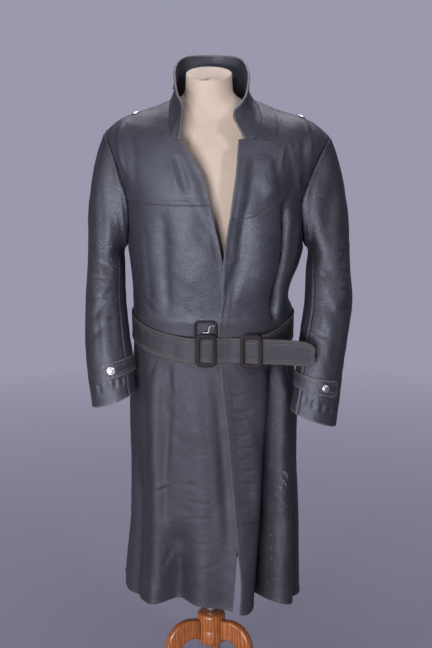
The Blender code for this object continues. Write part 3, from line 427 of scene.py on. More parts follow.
# Buttons are turned: radius and height above the cloth
BUTTON_PROFILE = [
    # radius, height
    (0.0028, 0.0000),
    (0.0028, 0.0016),
    (0.0078, 0.0017),
    (0.0086, 0.0021),
    (0.0088, 0.0027),
    (0.0086, 0.0033),
    (0.0080, 0.0036),
    (0.0074, 0.0034),
    (0.0068, 0.0037),
    (0.0052, 0.0044),
    (0.0030, 0.0048),
    (0.0008, 0.0050),
]
SHOULDER_BUTTON_SINK = 0.0006
SHOULDER_BUTTONS = [
    # name, across, rise
    ("shoulder_button_left", 0.700, 86.0),
    ("shoulder_button_right", -0.680, 86.0),
]

# Half sizes of the patch of cloth that a button faces: turn of a sleeve, across a yoke and rise of a yoke
PATCH_TURN = 6.0
PATCH_ACROSS = 0.01
PATCH_RISE = 2.0

# Dress form: plan at each height
FORM_SECTIONS = [
    # height, half_width, front_y, back_y
    (0.800, 0.150, -0.100, 0.104),
    (0.880, 0.158, -0.106, 0.112),
    (0.960, 0.148, -0.102, 0.104),
    (1.040, 0.142, -0.100, 0.098),
    (1.130, 0.154, -0.110, 0.104),
    (1.230, 0.170, -0.118, 0.108),
    (1.310, 0.182, -0.110, 0.106),
    (1.365, 0.188, -0.096, 0.098),
    (1.405, 0.182, -0.082, 0.086),
    (1.428, 0.170, -0.072, 0.076),
    (1.450, 0.143, -0.062, 0.066),
    (1.472, 0.089, -0.055, 0.0563),
    (1.493, 0.057, -0.052, 0.052),
    (1.515, 0.052, -0.051, 0.052),
    (1.540, 0.051, -0.051, 0.051),
]
FORM_AXIS_X = -0.004
NECK_SLOPE = 0.24
NECK_SLOPE_FROM = 1.455
CAP_ROUND = 0.004

# Stains on the rim of the form's neck
STAINS = [
    # x, y, height, half_width, half_height, strength
    (-0.018, -0.050, 1.5270, 0.0090, 0.0016, 0.95),
    (-0.008, -0.050, 1.5285, 0.0040, 0.0020, 0.80),
    (0.010, -0.044, 1.5330, 0.0028, 0.0030, 1.00),
    (0.016, -0.050, 1.5290, 0.0024, 0.0020, 0.70),
    (-0.034, -0.040, 1.5300, 0.0100, 0.0020, 0.35),
]
STAIN_DEPTH = 0.030

# Metal pole, wooden hub and wooden legs of the stand
POLE_PROFILE = [
    # radius, height
    (0.0125, 0.2633),
    (0.0142, 0.2636),
    (0.0142, 0.2790),
    (0.0136, 0.2800),
    (0.0125, 0.2802),
    (0.0125, 0.7700),
    (0.0136, 0.7705),
    (0.0142, 0.7715),
    (0.0142, 0.7997),
    (0.0125, 0.7997),
]
HUB_PROFILE = [
    # radius, height
    (0.0260, 0.1850),
    (0.0300, 0.1862),
    (0.0330, 0.1895),
    (0.0340, 0.1940),
    (0.0340, 0.2180),
    (0.0330, 0.2200),
    (0.0330, 0.2230),
    (0.0340, 0.2250),
    (0.0340, 0.2540),
    (0.0330, 0.2585),
    (0.0300, 0.2618),
    (0.0260, 0.2630),
]
LEG_ANGLES = {"stand_leg_left": -35.0, "stand_leg_right": 205.0, "stand_leg_back": 85.0}
LEG_THICKNESS = 0.022
LEG_ROUND = 0.35
LEG_CURVE = [
    # radius and height of the upper edge, radius and height of the lower edge
    (0.0345, 0.2480, 0.0345, 0.1980),
    (0.0650, 0.2500, 0.0560, 0.2010),
    (0.0930, 0.2390, 0.0740, 0.1920),
    (0.1120, 0.2140, 0.0840, 0.1700),
    (0.1200, 0.1800, 0.0900, 0.1400),
    (0.1300, 0.1400, 0.1010, 0.1040),
    (0.1520, 0.0980, 0.1230, 0.0640),
    (0.1860, 0.0620, 0.1580, 0.0300),
    (0.2220, 0.0420, 0.1980, 0.0060),
    (0.2420, 0.0340, 0.2200, 0.0000),
    (0.2500, 0.0000, 0.2360, 0.0000),
]

# Creases drawn in a view: a bowed line between two ends; depth is out of the cloth when positive
CREASES = {
    "body_front": [
        # x, height, x, height, bow, half_width, depth
        # Wearer's right chest: roll line from the collar to the front edge
        (-0.077, 1.378, -0.043, 1.288, 0.002, 0.0080, -0.0020),
        (-0.045, 1.296, 0.006, 1.188, 0.003, 0.0085, -0.0018),
        (0.002, 1.206, 0.030, 1.130, 0.002, 0.0070, -0.0010),
        (-0.090, 1.376, -0.068, 1.290, 0.002, 0.0070, 0.0014),
        (-0.080, 1.378, -0.062, 1.373, 0.001, 0.0036, 0.0008),
        (-0.106, 1.262, -0.098, 1.030, 0.004, 0.0090, -0.0010),
        (-0.134, 1.255, -0.135, 1.030, 0.003, 0.0120, 0.0012),
        (-0.066, 1.250, -0.036, 1.050, 0.006, 0.0300, 0.0030),
        (-0.158, 1.060, -0.120, 1.015, 0.002, 0.0060, -0.0010),
        (-0.060, 1.045, -0.040, 1.012, 0.001, 0.0070, -0.0008),
        (-0.020, 1.060, -0.006, 1.010, 0.001, 0.0060, -0.0009),
        (-0.184, 1.335, -0.192, 1.240, 0.003, 0.0060, -0.0010),
        # Wearer's left chest: tented fold under the shoulder
        (0.153, 1.336, 0.159, 1.388, -0.002, 0.0038, 0.0018),
        (0.155, 1.374, 0.169, 1.400, -0.003, 0.0036, 0.0016),
        (0.165, 1.400, 0.182, 1.362, -0.003, 0.0036, 0.0018),
        (0.175, 1.380, 0.200, 1.256, -0.003, 0.0042, 0.0020),
        (0.169, 1.386, 0.178, 1.280, 0.000, 0.0110, -0.0016),
        (0.118, 1.385, 0.136, 1.262, 0.003, 0.0150, 0.0040),
        (0.140, 1.365, 0.152, 1.290, 0.002, 0.0070, -0.0010),
        (0.134, 1.270, 0.116, 1.040, 0.003, 0.0360, 0.0095),
        (0.183, 1.256, 0.160, 1.100, 0.004, 0.0090, 0.0014),
        (0.094, 1.392, 0.078, 1.268, 0.002, 0.0085, -0.0016),
        (0.078, 1.285, 0.058, 1.140, 0.002, 0.0075, -0.0014),
        (0.058, 1.150, 0.034, 1.060, 0.002, 0.0060, -0.0012),
        (0.201, 1.445, 0.217, 1.410, -0.003, 0.0040, 0.0014),
        (0.217, 1.416, 0.216, 1.330, -0.004, 0.0040, 0.0015),
        (0.204, 1.415, 0.209, 1.280, 0.003, 0.0060, -0.0026),
        (-0.191, 1.437, -0.205, 1.395, 0.003, 0.0042, 0.0016),
        (-0.205, 1.402, -0.184, 1.326, 0.005, 0.0040, 0.0017),
        (0.080, 1.045, 0.110, 1.020, 0.001, 0.0070, -0.0009),
        # Skirt, wearer's right; the first row runs beside the left front's edge
        (0.008, 0.930, 0.047, 0.430, 0.000, 0.0110, -0.0030),
        (-0.117, 0.926, -0.136, 0.868, 0.002, 0.0045, -0.0013),
        (-0.090, 0.930, -0.086, 0.822, 0.003, 0.0055, -0.0017),
        (-0.085, 0.840, -0.100, 0.655, 0.003, 0.0065, -0.0015),
        (-0.060, 0.900, -0.030, 0.700, 0.006, 0.0220, 0.0024),
        (-0.134, 0.606, -0.080, 0.625, -0.002, 0.0042, -0.0008),
        (-0.128, 0.620, -0.088, 0.632, -0.002, 0.0050, 0.0008),
        (-0.089, 0.620, -0.046, 0.654, 0.007, 0.0042, 0.0006),
        (-0.050, 0.654, -0.014, 0.629, 0.004, 0.0042, 0.0005),
        (-0.070, 0.632, -0.030, 0.640, 0.004, 0.0060, -0.0010),
        (-0.112, 0.428, -0.090, 0.480, 0.002, 0.0060, -0.0012),
        (-0.071, 0.470, -0.062, 0.383, 0.002, 0.0070, -0.0013),
        (-0.136, 0.440, -0.124, 0.372, 0.002, 0.0070, -0.0014),
        (-0.062, 0.598, 0.008, 0.590, 0.003, 0.0038, -0.0007),
        (-0.072, 0.548, 0.016, 0.556, -0.003, 0.0040, -0.0007),
        (-0.058, 0.503, 0.012, 0.492, 0.002, 0.0036, -0.0006),
        (-0.032, 0.440, 0.028, 0.450, 0.002, 0.0040, -0.0007),
        (-0.050, 0.704, 0.006, 0.708, 0.003, 0.0036, -0.0005),
        (-0.048, 0.768, 0.002, 0.760, -0.002, 0.0040, -0.0006),
        (-0.140, 0.760, -0.150, 0.640, 0.003, 0.0080, -0.0020),
        # Skirt, wearer's left
        (0.143, 0.912, 0.150, 0.866, 0.001, 0.0042, 0.0016),
        (0.148, 0.874, 0.174, 0.806, -0.003, 0.0042, 0.0016),
        (0.160, 0.900, 0.186, 0.836, -0.002, 0.0060, -0.0016),
        (0.106, 0.660, 0.128, 0.520, 0.004, 0.0120, 0.0020),
        (0.164, 0.560, 0.170, 0.440, 0.003, 0.0090, -0.0020),
        (0.100, 0.800, 0.118, 0.700, 0.003, 0.0100, -0.0014),
    ],
    "body_back": [
        (-0.060, 1.420, -0.030, 1.290, 0.004, 0.0100, -0.0026),
        (0.070, 1.410, 0.040, 1.280, -0.004, 0.0110, -0.0024),
        (-0.150, 1.340, -0.176, 1.220, 0.004, 0.0060, -0.0034),
        (0.170, 1.345, 0.196, 1.215, -0.004, 0.0060, -0.0036),
        (-0.120, 1.240, -0.080, 1.040, 0.006, 0.0120, -0.0030),
        (0.130, 1.230, 0.090, 1.030, -0.006, 0.0120, -0.0030),
        (0.012, 1.200, 0.020, 1.030, 0.003, 0.0100, -0.0024),
        (-0.060, 1.080, -0.020, 1.020, 0.002, 0.0060, -0.0018),
        (0.060, 1.075, 0.090, 1.015, 0.002, 0.0060, -0.0020),
        (-0.030, 0.930, -0.040, 0.760, 0.004, 0.0080, -0.0026),
        (0.070, 0.925, 0.090, 0.740, 0.004, 0.0080, -0.0028),
        (-0.110, 0.930, -0.120, 0.800, 0.003, 0.0070, -0.0024),
        (-0.090, 0.640, -0.030, 0.628, 0.003, 0.0042, -0.0014),
        (0.020, 0.560, 0.095, 0.572, -0.003, 0.0042, -0.0014),
        (-0.060, 0.480, 0.000, 0.470, 0.003, 0.0040, -0.0012),
        (0.060, 0.470, 0.082, 0.390, 0.003, 0.0070, -0.0028),
        (-0.120, 0.470, -0.104, 0.385, 0.003, 0.0070, -0.0026),
    ],
    "right_sleeve_front": [
        (-0.211, 1.388, -0.203, 1.290, 0.003, 0.0040, 0.0016),
        (-0.204, 1.300, -0.191, 1.160, -0.002, 0.0040, 0.0017),
        (-0.191, 1.172, -0.197, 1.090, 0.002, 0.0040, 0.0014),
        (-0.197, 1.100, -0.192, 0.990, 0.001, 0.0040, 0.0016),
        (-0.240, 1.350, -0.228, 1.160, 0.004, 0.0130, 0.0012),
        (-0.222, 1.330, -0.212, 1.180, 0.003, 0.0070, -0.0010),
        (-0.262, 1.136, -0.212, 1.118, 0.004, 0.0048, -0.0009),
        (-0.268, 1.094, -0.216, 1.090, -0.003, 0.0046, -0.0008),
        (-0.270, 1.052, -0.222, 1.062, 0.003, 0.0046, -0.0009),
        (-0.255, 1.180, -0.222, 1.156, 0.003, 0.0050, -0.0006),
        (-0.254, 1.036, -0.246, 0.915, 0.002, 0.0055, -0.0010),
        (-0.238, 1.026, -0.231, 0.912, 0.002, 0.0060, 0.0009),
        (-0.220, 1.036, -0.212, 0.925, 0.002, 0.0055, -0.0010),
        (-0.202, 1.010, -0.198, 0.930, 0.001, 0.0050, -0.0007),
        (-0.266, 0.990, -0.258, 0.930, 0.002, 0.0050, -0.0007),
        (-0.250, 0.868, -0.246, 0.838, 0.000, 0.0040, -0.0020),
        (-0.232, 0.872, -0.226, 0.846, 0.000, 0.0040, -0.0018),
        (-0.214, 0.878, -0.210, 0.850, 0.000, 0.0040, -0.0020),
        (-0.198, 0.882, -0.196, 0.858, 0.000, 0.0036, -0.0016),
    ],
    "left_sleeve_front": [
        (0.217, 1.300, 0.213, 1.215, 0.002, 0.0040, 0.0016),
        (0.213, 1.236, 0.218, 1.150, -0.002, 0.0040, 0.0016),
        (0.218, 1.172, 0.211, 1.100, -0.002, 0.0040, 0.0015),
        (0.212, 1.120, 0.203, 0.985, 0.001, 0.0040, 0.0016),
        (0.258, 1.255, 0.256, 1.070, 0.004, 0.0100, -0.0014),
        (0.236, 1.335, 0.238, 1.185, 0.003, 0.0120, 0.0012),
        (0.286, 1.290, 0.292, 1.150, 0.004, 0.0120, 0.0010),
        (0.282, 1.156, 0.310, 1.146, 0.001, 0.0034, -0.0016),
        (0.288, 1.134, 0.314, 1.126, 0.001, 0.0030, -0.0014),
        (0.284, 1.112, 0.316, 1.106, 0.001, 0.0034, -0.0017),
        (0.290, 1.092, 0.317, 1.088, 0.001, 0.0030, -0.0014),
        (0.286, 1.068, 0.316, 1.070, 0.001, 0.0034, -0.0016),
        (0.292, 1.044, 0.315, 1.050, 0.001, 0.0030, -0.0013),
        (0.288, 1.022, 0.312, 1.030, 0.001, 0.0032, -0.0014),
        (0.226, 1.110, 0.262, 1.094, 0.003, 0.0050, -0.0009),
        (0.222, 1.060, 0.256, 1.052, 0.003, 0.0050, -0.0009),
        (0.218, 0.985, 0.264, 0.964, 0.003, 0.0044, -0.0012),
        (0.214, 0.966, 0.242, 0.956, 0.002, 0.0040, -0.0008),
        (0.240, 1.020, 0.246, 0.920, 0.002, 0.0060, -0.0009),
        (0.268, 1.000, 0.262, 0.910, 0.002, 0.0060, 0.0009),
        (0.286, 0.990, 0.274, 0.900, 0.002, 0.0060, -0.0009),
        (0.212, 0.840, 0.208, 0.815, 0.000, 0.0036, -0.0016),
        (0.230, 0.832, 0.226, 0.805, 0.000, 0.0040, -0.0020),
        (0.250, 0.824, 0.246, 0.796, 0.000, 0.0040, -0.0018),
        (0.268, 0.818, 0.264, 0.790, 0.000, 0.0036, -0.0016),
    ],
    "sleeves_back": [
        (-0.200, 1.330, -0.226, 1.200, 0.004, 0.0080, -0.0026),
        (-0.226, 1.150, -0.264, 1.110, 0.004, 0.0060, -0.0026),
        (-0.212, 1.095, -0.262, 1.070, 0.004, 0.0060, -0.0026),
        (-0.206, 1.040, -0.256, 1.030, 0.004, 0.0056, -0.0024),
        (-0.210, 0.980, -0.248, 0.985, 0.003, 0.0050, -0.0020),
        (0.226, 1.330, 0.256, 1.190, -0.004, 0.0080, -0.0026),
        (0.240, 1.140, 0.300, 1.105, 0.004, 0.0060, -0.0026),
        (0.236, 1.085, 0.296, 1.065, 0.004, 0.0060, -0.0026),
        (0.232, 1.030, 0.288, 1.026, 0.004, 0.0056, -0.0024),
        (0.226, 0.960, 0.280, 0.975, 0.003, 0.0050, -0.0020),
    ],
    "collar_front": [
        (0.086, 1.494, 0.074, 1.420, 0.003, 0.0100, -0.0012),
        (0.098, 1.470, 0.098, 1.425, 0.002, 0.0060, -0.0006),
        (-0.080, 1.480, -0.072, 1.430, 0.002, 0.0070, -0.0008),
    ],
}
CREASE_TAPER = 0.3
FACING_GAIN = 1.8
BANK_DEPTH = 0.30
BANK_PLACE = 1.9
BANK_WIDTH = 0.8

# Relief next to an edge, by its style: a roll at the edge, grooves beside it, and gathers along it
EDGE_ROLLS = {
    # style: height, end, fade
    "fold": (0.0007, 0.0065, 0.003),
    "lap": (0.0010, 0.004, 0.010),
    "ribbed": (0.0006, 0.003, 0.003),
}
EDGE_GROOVES = [
    # style, depth, place, half_width
    ("fold", 0.0005, 0.0078, 0.0016),
    ("lap", 0.0003, 0.0030, 0.0012),
    ("lap", 0.00021, 0.0095, 0.0012),
    ("ribbed", 0.0005, 0.0040, 0.0013),
    ("ribbed", 0.0005, 0.0095, 0.0013),
    ("under", 0.0013, 0.0, 0.0026),
    ("soft", 0.0005, 0.0, 0.0020),
    ("seam", 0.0013, 0.0, 0.0024),
]
EDGE_GATHERS = {
    # style: even height, height of the gathers, pitch, sway, sway_rate, place, half_width
    "lap": (0.0, 0.00030, 0.0086, 1.3, 61.0, 0.007, 0.006),
    "ribbed": (0.0, 0.00022, 0.0074, 1.4, 53.0, 0.0068, 0.004),
    "seam": (0.0006, 0.0003, 0.011, 1.7, 47.0, 0.0055, 0.0034),
}

# Wear by the style of an edge, and how far out a ridge is fully worn, away from a panel's outer rows
EDGE_WEAR = {"fold": 1.0, "ribbed": 1.0, "lap": 0.15}
EDGE_WEAR_WIDTH = 0.0016
RIDGE_FULL = 0.0008
RIDGE_BORDER = 8

# Short puckers of the left front beside its stitched band: place below the belt
PUCKERS = [
    # height, length, half_width, depth
    (0.842, 0.030, 0.0040, -0.0014),
    (0.806, 0.046, 0.0036, -0.0023),
    (0.786, 0.030, 0.0040, -0.0014),
    (0.752, 0.036, 0.0034, -0.0018),
    (0.722, 0.044, 0.0040, -0.0021),
    (0.694, 0.026, 0.0032, -0.0014),
    (0.668, 0.040, 0.0036, -0.0018),
    (0.640, 0.048, 0.0036, -0.0021),
    (0.618, 0.034, 0.0030, -0.0015),
    (0.592, 0.044, 0.0034, -0.0021),
    (0.570, 0.030, 0.0030, -0.0015),
    (0.546, 0.040, 0.0034, -0.0018),
    (0.520, 0.036, 0.0030, -0.0016),
    (0.494, 0.028, 0.0032, -0.0014),
    (0.462, 0.034, 0.0036, -0.0015),
    (0.428, 0.026, 0.0034, -0.0014),
]
PUCKER_SLOPE = 0.12
PUCKER_GAP = 0.002
PUCKER_BOW = 0.002

# Band along the left front's edge
BAND_WIDTH = [
    # height, width
    (0.320, 0.020),
    (0.900, 0.019),
    (1.050, 0.022),
    (1.266, 0.032),
    (1.400, 0.038),
]
BAND_RISE = 0.0007
BAND_FADE = 0.003
BAND_GROOVE = 0.0006
BAND_GROOVE_WIDTH = 0.0022

# Right front's edge, which curls in between these heights
CURL_DEPTH = 0.0045
CURL_WIDTH = 0.034
CURL_HEIGHTS = (1.060, 1.200, 1.300, 1.400)

# Slow unevenness of the leather: length and height of each wave
WAVES = [
    # length, height
    (0.110, 0.0007),
    (0.074, 0.0005),
    (0.052, 0.0004),
    (0.036, 0.00028),
    (0.024, 0.00018),
]
WAVES_EACH = 3
WAVE_STRETCH = (1.0, 1.0, 0.6)
WAVE_SEED = 11

# Rubbed patches, seen from the front, where the finish is scuffed; most are also painted highlights, laid
# where the light's gloss falls on the sleeves, chest and skirt
RUBBED_AND_SHEEN = [
    # x, height, half_width, half_height, strength
    (-0.226, 1.130, 0.020, 0.095, 1.00),
    (-0.232, 1.010, 0.026, 0.080, 0.55),
    (-0.196, 1.180, 0.010, 0.160, 0.70),
    (-0.206, 1.360, 0.010, 0.050, 0.80),
    (-0.228, 0.862, 0.040, 0.026, 0.80),
    (0.226, 1.330, 0.016, 0.060, 0.70),
    (0.236, 1.230, 0.016, 0.090, 0.60),
    (0.214, 1.160, 0.008, 0.160, 0.70),
    (0.302, 1.090, 0.018, 0.100, 0.65),
    (0.240, 0.975, 0.034, 0.020, 0.60),
    (0.240, 0.850, 0.044, 0.044, 0.85),
    (0.128, 1.310, 0.020, 0.046, 0.65),
    (0.192, 1.320, 0.010, 0.060, 0.65),
    (-0.060, 1.285, 0.050, 0.016, 0.55),
    (0.180, 0.520, 0.030, 0.110, 0.50),
    (0.070, 0.640, 0.024, 0.200, 0.30),
    (0.050, 0.942, 0.200, 0.030, 0.30),
]

# Pale scuffs on the skirt fronts: ends and width
SCUFFS = [
    # x, height, x, height, width
    (0.1660, 0.650, 0.1600, 0.612, 0.0038),
    (0.1600, 0.616, 0.1520, 0.560, 0.0024),
    (0.1490, 0.672, 0.1560, 0.668, 0.0020),
    (0.1775, 0.548, 0.1785, 0.540, 0.0024),
    (0.1820, 0.530, 0.1825, 0.524, 0.0018),
    (0.1870, 0.512, 0.1875, 0.504, 0.0022),
    (0.1740, 0.520, 0.1745, 0.514, 0.0016),
    (0.1400, 0.500, 0.1408, 0.490, 0.0022),
    (0.1420, 0.474, 0.1428, 0.462, 0.0022),
    (0.1440, 0.446, 0.1446, 0.440, 0.0026),
    (0.1450, 0.424, 0.1460, 0.412, 0.0018),
    (0.1510, 0.398, 0.1514, 0.390, 0.0022),
    (0.1800, 0.470, 0.1803, 0.462, 0.0016),
    (0.1900, 0.400, 0.1902, 0.386, 0.0018),
    (0.1560, 0.380, 0.1562, 0.362, 0.0018),
    (0.1290, 0.388, 0.1294, 0.376, 0.0016),
    (-0.0300, 0.558, -0.0270, 0.553, 0.0018),
]

# A scuff is a row of low ragged flecks; sizes are shares of its width
SCUFF_SEED = 5
SCUFF_RISE = 0.0005
FLECK_PITCH = 0.0012
FLECK_WOBBLE = 0.25
FLECK_SIZES = (0.15, 0.40)
FLECK_RAGGED = (0.55, 1.1)
FLECK_CORNERS = 8

# Stitches
STITCH_PITCH = 0.0042
STITCH_LENGTH = 0.0031
STITCH_RADIUS = 0.00042
STITCH_SINK = 0.00012
STITCH_SKIP = 0.004
STITCH_AHEAD = 0.001
THREAD_SIDES = 5
THREAD_RINGS = [
    # place, thickness, drop
    (-0.5, 0.45, 0.5),
    (-0.22, 1.0, 0.0),
    (0.22, 1.0, 0.0),
    (0.5, 0.45, 0.5),
]

COAT_STITCHES = [
    # edge, distances from it, pieces
    ("left", (0.0078,), ("skirt_front_left", "chest_front_left", "yoke_front_left")),
    ("right", (0.0078,), ("skirt_front_right", "chest_front_right", "yoke_front_right")),
    ("low", (0.0140,), ("skirt_front_left", "skirt_front_right", "skirt_back")),
    ("low", (0.0030, 0.0095), ("chest_front_left", "chest_front_right", "back_body")),
    ("low", (0.0030, 0.0095), ("yoke_front_left", "yoke_front_right", "yoke_back")),
    ("top", (0.0120,), ("sleeve_top_left", "sleeve_under_left", "sleeve_top_right", "sleeve_under_right")),
]
COLLAR_STITCHES = 0.0060
RIBBED_PIECES = ("belt_strap", "belt_tongue", "cuff_strap_left", "cuff_strap_right")
RIBBED_STITCHES = (0.0040, 0.0095)

# Mark of a button on the wearer's right yoke
MARK_PLACE = (-0.108, 1.413)
MARK_RADIUS = 0.0085
MARK_DEPTH = 0.0011
MARK_SOFTNESS = 0.0022
MARK_OPEN_SHARE = 0.4

# Studio: floor, sky and lights
FLOOR_RADIUS = 8.0
FLOOR_FADE = (0.4, 3.4)
SKY_COLOUR = (0.325, 0.316, 0.416)
SKY_STRENGTH = 1.0
SKY_LIGHT = 0.4
LIGHT_AIM = (0.0, 0.0, 1.1)
LIGHTS = [
    # name, place, size, power, colour
    ("main", (-0.9, -3.15, 0.85), (1.4, 0.8), 92.0, (0.95, 0.94, 1.0)),
    ("left", (-2.5, -1.7, 1.0), (0.5, 1.0), 16.0, (0.95, 0.94, 1.0)),
    ("left_key", (-1.3, -1.9, 2.9), (0.3, 0.3), 14.0, (0.97, 0.95, 1.0)),
    ("right_key", (1.5, -1.9, 2.7), (0.3, 0.3), 18.0, (0.97, 0.95, 1.0)),
    ("floor", (0.0, 1.2, 3.2), (2.4, 1.6), 50.0, (0.96, 0.95, 1.0)),
]


def ease(share):
    """A soft step from 0 to 1."""
    share = np.clip(share, 0.0, 1.0)
    return share * share * (3.0 - 2.0 * share)


def bell(value):
    """A bell curve, 1 in its middle."""
    return np.exp(-(value**2))


def signed_power(value, power):
    """A power that keeps the sign."""
    return np.sign(value) * np.abs(value) ** power


def wrapped(angle):
    """An angle brought to between -180 and 180."""
    return (angle + 180.0) % 360.0 - 180.0


def smooth_way(share, start, end, leave, arrive):
    """A smooth way from start to end; leave and arrive are its slopes there."""
    rest = 1.0 - share
    return (
        (1.0 + 2.0 * share) * rest**2 * start
        + share**2 * (3.0 - 2.0 * share) * end
        + share * rest**2 * leave
        + share**2 * (share - 1.0) * arrive
    )


def read_table(rows, column, at):
    """A column of a table read anywhere along its first column, on a smooth curve through the rows."""
    data = np.array(rows, dtype=float)
    keys = data[:, 0]
    values = data[:, column]
    slopes = np.gradient(values, keys)
    at = np.clip(at, keys[0], keys[-1])
    index = np.clip(np.searchsorted(keys, at) - 1, 0, len(keys) - 2)
    span = keys[index + 1] - keys[index]
    share = (at - keys[index]) / span
    return smooth_way(share, values[index], values[index + 1], span * slopes[index], span * slopes[index + 1])


def read_straight(rows, column, at):
    """A column of a table read along straight lines between its rows."""
    data = np.array(rows, dtype=float)
    return np.interp(at, data[:, 0], data[:, column])


def curve_through(points, at):
    """Points on a smooth curve through the given ones; at runs from 0 to 1."""
    keys = np.linspace(0.0, 1.0, len(points))
    columns = []
    for axis in range(len(points[0])):
        rows = [(key, point[axis]) for key, point in zip(keys, points)]
        columns.append(read_table(rows, 1, at))
    return np.stack(columns, axis=-1)


def lengths_along(points):
    """Length from the first point of a row to each of its points."""
    steps = np.linalg.norm(np.diff(points, axis=0), axis=1)
    return np.concatenate([[0.0], np.cumsum(steps)])


def read_points(at, keys, points):
    """Points read along straight lines between the given ones, which lie at keys."""
    return np.stack([np.interp(at, keys, points[:, axis]) for axis in range(3)], axis=-1)


def round_tip(share, narrow):
    """Share of a strap's width that is left at a share of its tip's length."""
    share = np.clip(share, 0.0, 1.0)
    return narrow + (1.0 - narrow) * np.sqrt(1.0 - (1.0 - share) ** 2)


def edge_shares(length, step):
    """Shares along a length of cloth, closer together next to both ends."""
    inner = np.linspace(NEAR_EDGE[-1], length - NEAR_EDGE[-1], max(int(length / step), 4))
    return np.concatenate([NEAR_EDGE[:-1], inner, length - NEAR_EDGE[-2::-1]]) / length


def body_section(height):
    """Centre x, half width, front y and back y of the coat at a height."""
    right = read_table(BODY_SECTIONS, 1, height)
    left = read_table(BODY_SECTIONS, 2, height)
    front = read_table(BODY_SECTIONS, 3, height)
    back = read_table(BODY_SECTIONS, 4, height)
    return (left + right) / 2.0, (left - right) / 2.0, front, back


def belt_height(angle):
    """Height of the belt's centre line."""
    facing = np.cos(np.radians(angle))
    drop = BELT_FRONT_DROP * np.clip(facing, 0.0, 1.0) ** 1.5
    rise = BELT_BACK_RISE * np.clip(-facing, 0.0, 1.0)
    return BELT_SIDE_HEIGHT - drop + rise


def clear_of_belt(angle, height):
    """0 below the belt, where it holds the cloth flat, and 1 away from it."""
    from_belt = np.abs(height - belt_height(angle)) - BELT_WIDTH / 2.0
    return ease((from_belt - BELT_CLEAR) / BELT_PINCH)


def fold_depth(angle, height):
    """How far the largest folds move the cloth out of its plain form."""
    total = np.zeros(np.broadcast(angle, height).shape)
    for top_angle, top, low_angle, low, half_width, top_depth, low_depth in FOLDS:
        share = np.clip((top - height) / (top - low), 0.0, 1.0)
        middle = top_angle + (low_angle - top_angle) * share
        aside = np.radians(wrapped(angle - middle)) * FOLD_RADIUS / half_width
        depth = top_depth + (low_depth - top_depth) * share
        fade_low = ease((height - low) / FOLD_FADE + (low < FOLD_OPEN_BELOW))
        total += depth * ease((top - height) / FOLD_FADE) * fade_low * bell(aside)
    return total * clear_of_belt(angle, height)


def hem_height(angle):
    """Height of the hem."""
    return read_table(HEM, 1, wrapped(angle))


def yoke_seam(angle):
    """Height of the yoke seam."""
    turn = wrapped(angle)
    span = YOKE_LEVEL_ANGLE - YOKE_LOW_ANGLE
    return YOKE_HEIGHT - YOKE_SLANT * ease((YOKE_LEVEL_ANGLE - turn) / span) * (turn > 0.0)


def left_lift(angle):
    """How far the left front lies over the right one."""
    return LEFT_LIFT * (1.0 - ease((angle - LIFT_FULL_ANGLE) / (LIFT_NONE_ANGLE - LIFT_FULL_ANGLE)))


def no_lift(angle):
    """A panel that lies on the plain form."""
    return 0.0 * angle


def body_point(angle, height, lift=0.0):
    """A point of the coat below the yoke seam, moved out by lift."""
    angle, height, lift = np.broadcast_arrays(angle, height, lift)
    centre, half, front, back = body_section(height)
    sine = np.sin(np.radians(angle))
    cosine = np.cos(np.radians(angle))
    power = 2.0 / SQUARENESS
    depth = np.where(cosine > 0.0, -front, back)
    x = centre + half * signed_power(sine, power)
    y = -depth * signed_power(cosine, power)
    out_x = signed_power(sine, 2.0 - power) / half
    out_y = -signed_power(cosine, 2.0 - power) / depth
    size = np.hypot(out_x, out_y)
    move = lift + fold_depth(angle, height)
    return np.stack([x + move * out_x / size, y + move * out_y / size, height], axis=-1)


def edge_angle(rows, height):
    """Angle of a front edge at a height."""
    centre, half, _, _ = body_section(height)
    return across_angle((read_table(rows, 1, height) - centre) / half)


def left_edge(height):
    """Angle of the left front's edge."""
    return edge_angle(LEFT_EDGE, height)


def right_edge(height):
    """Angle of the right front's edge."""
    return edge_angle(RIGHT_EDGE, height)


def fixed(angle):
    """An edge that stays at one angle."""
    return lambda height: angle + 0.0 * np.asarray(height)


ARMHOLE_ANGLE = math.degrees(math.asin(ARMHOLE_ACROSS ** (SQUARENESS / 2.0)))


def armhole_height(angle):
    """Top of the panels below the yoke seam: the yoke seam, or the lower half of an armhole."""
    from_side = np.abs(np.abs(wrapped(angle)) - 90.0)
    share = np.clip(from_side / (90.0 - ARMHOLE_ANGLE), 0.0, 1.0)
    return ARMPIT_HEIGHT + (yoke_seam(angle) - ARMPIT_HEIGHT) * (1.0 - np.sqrt(1.0 - share**2))


def yoke_plan(rise):
    """Centre x and half width of the yokes at a rise in degrees."""
    centre, half, _, _ = body_section(np.asarray(YOKE_HEIGHT))
    share = np.sin(np.radians(rise))
    top_half = SHOULDER_HALF / ARMHOLE_ACROSS
    return centre + (SHOULDER_CENTRE - centre) * share, half + (top_half - half) * share


def across_angle(across):
    """Angle round the body of a place across a yoke."""
    return np.degrees(np.arcsin(signed_power(across, SQUARENESS / 2.0)))


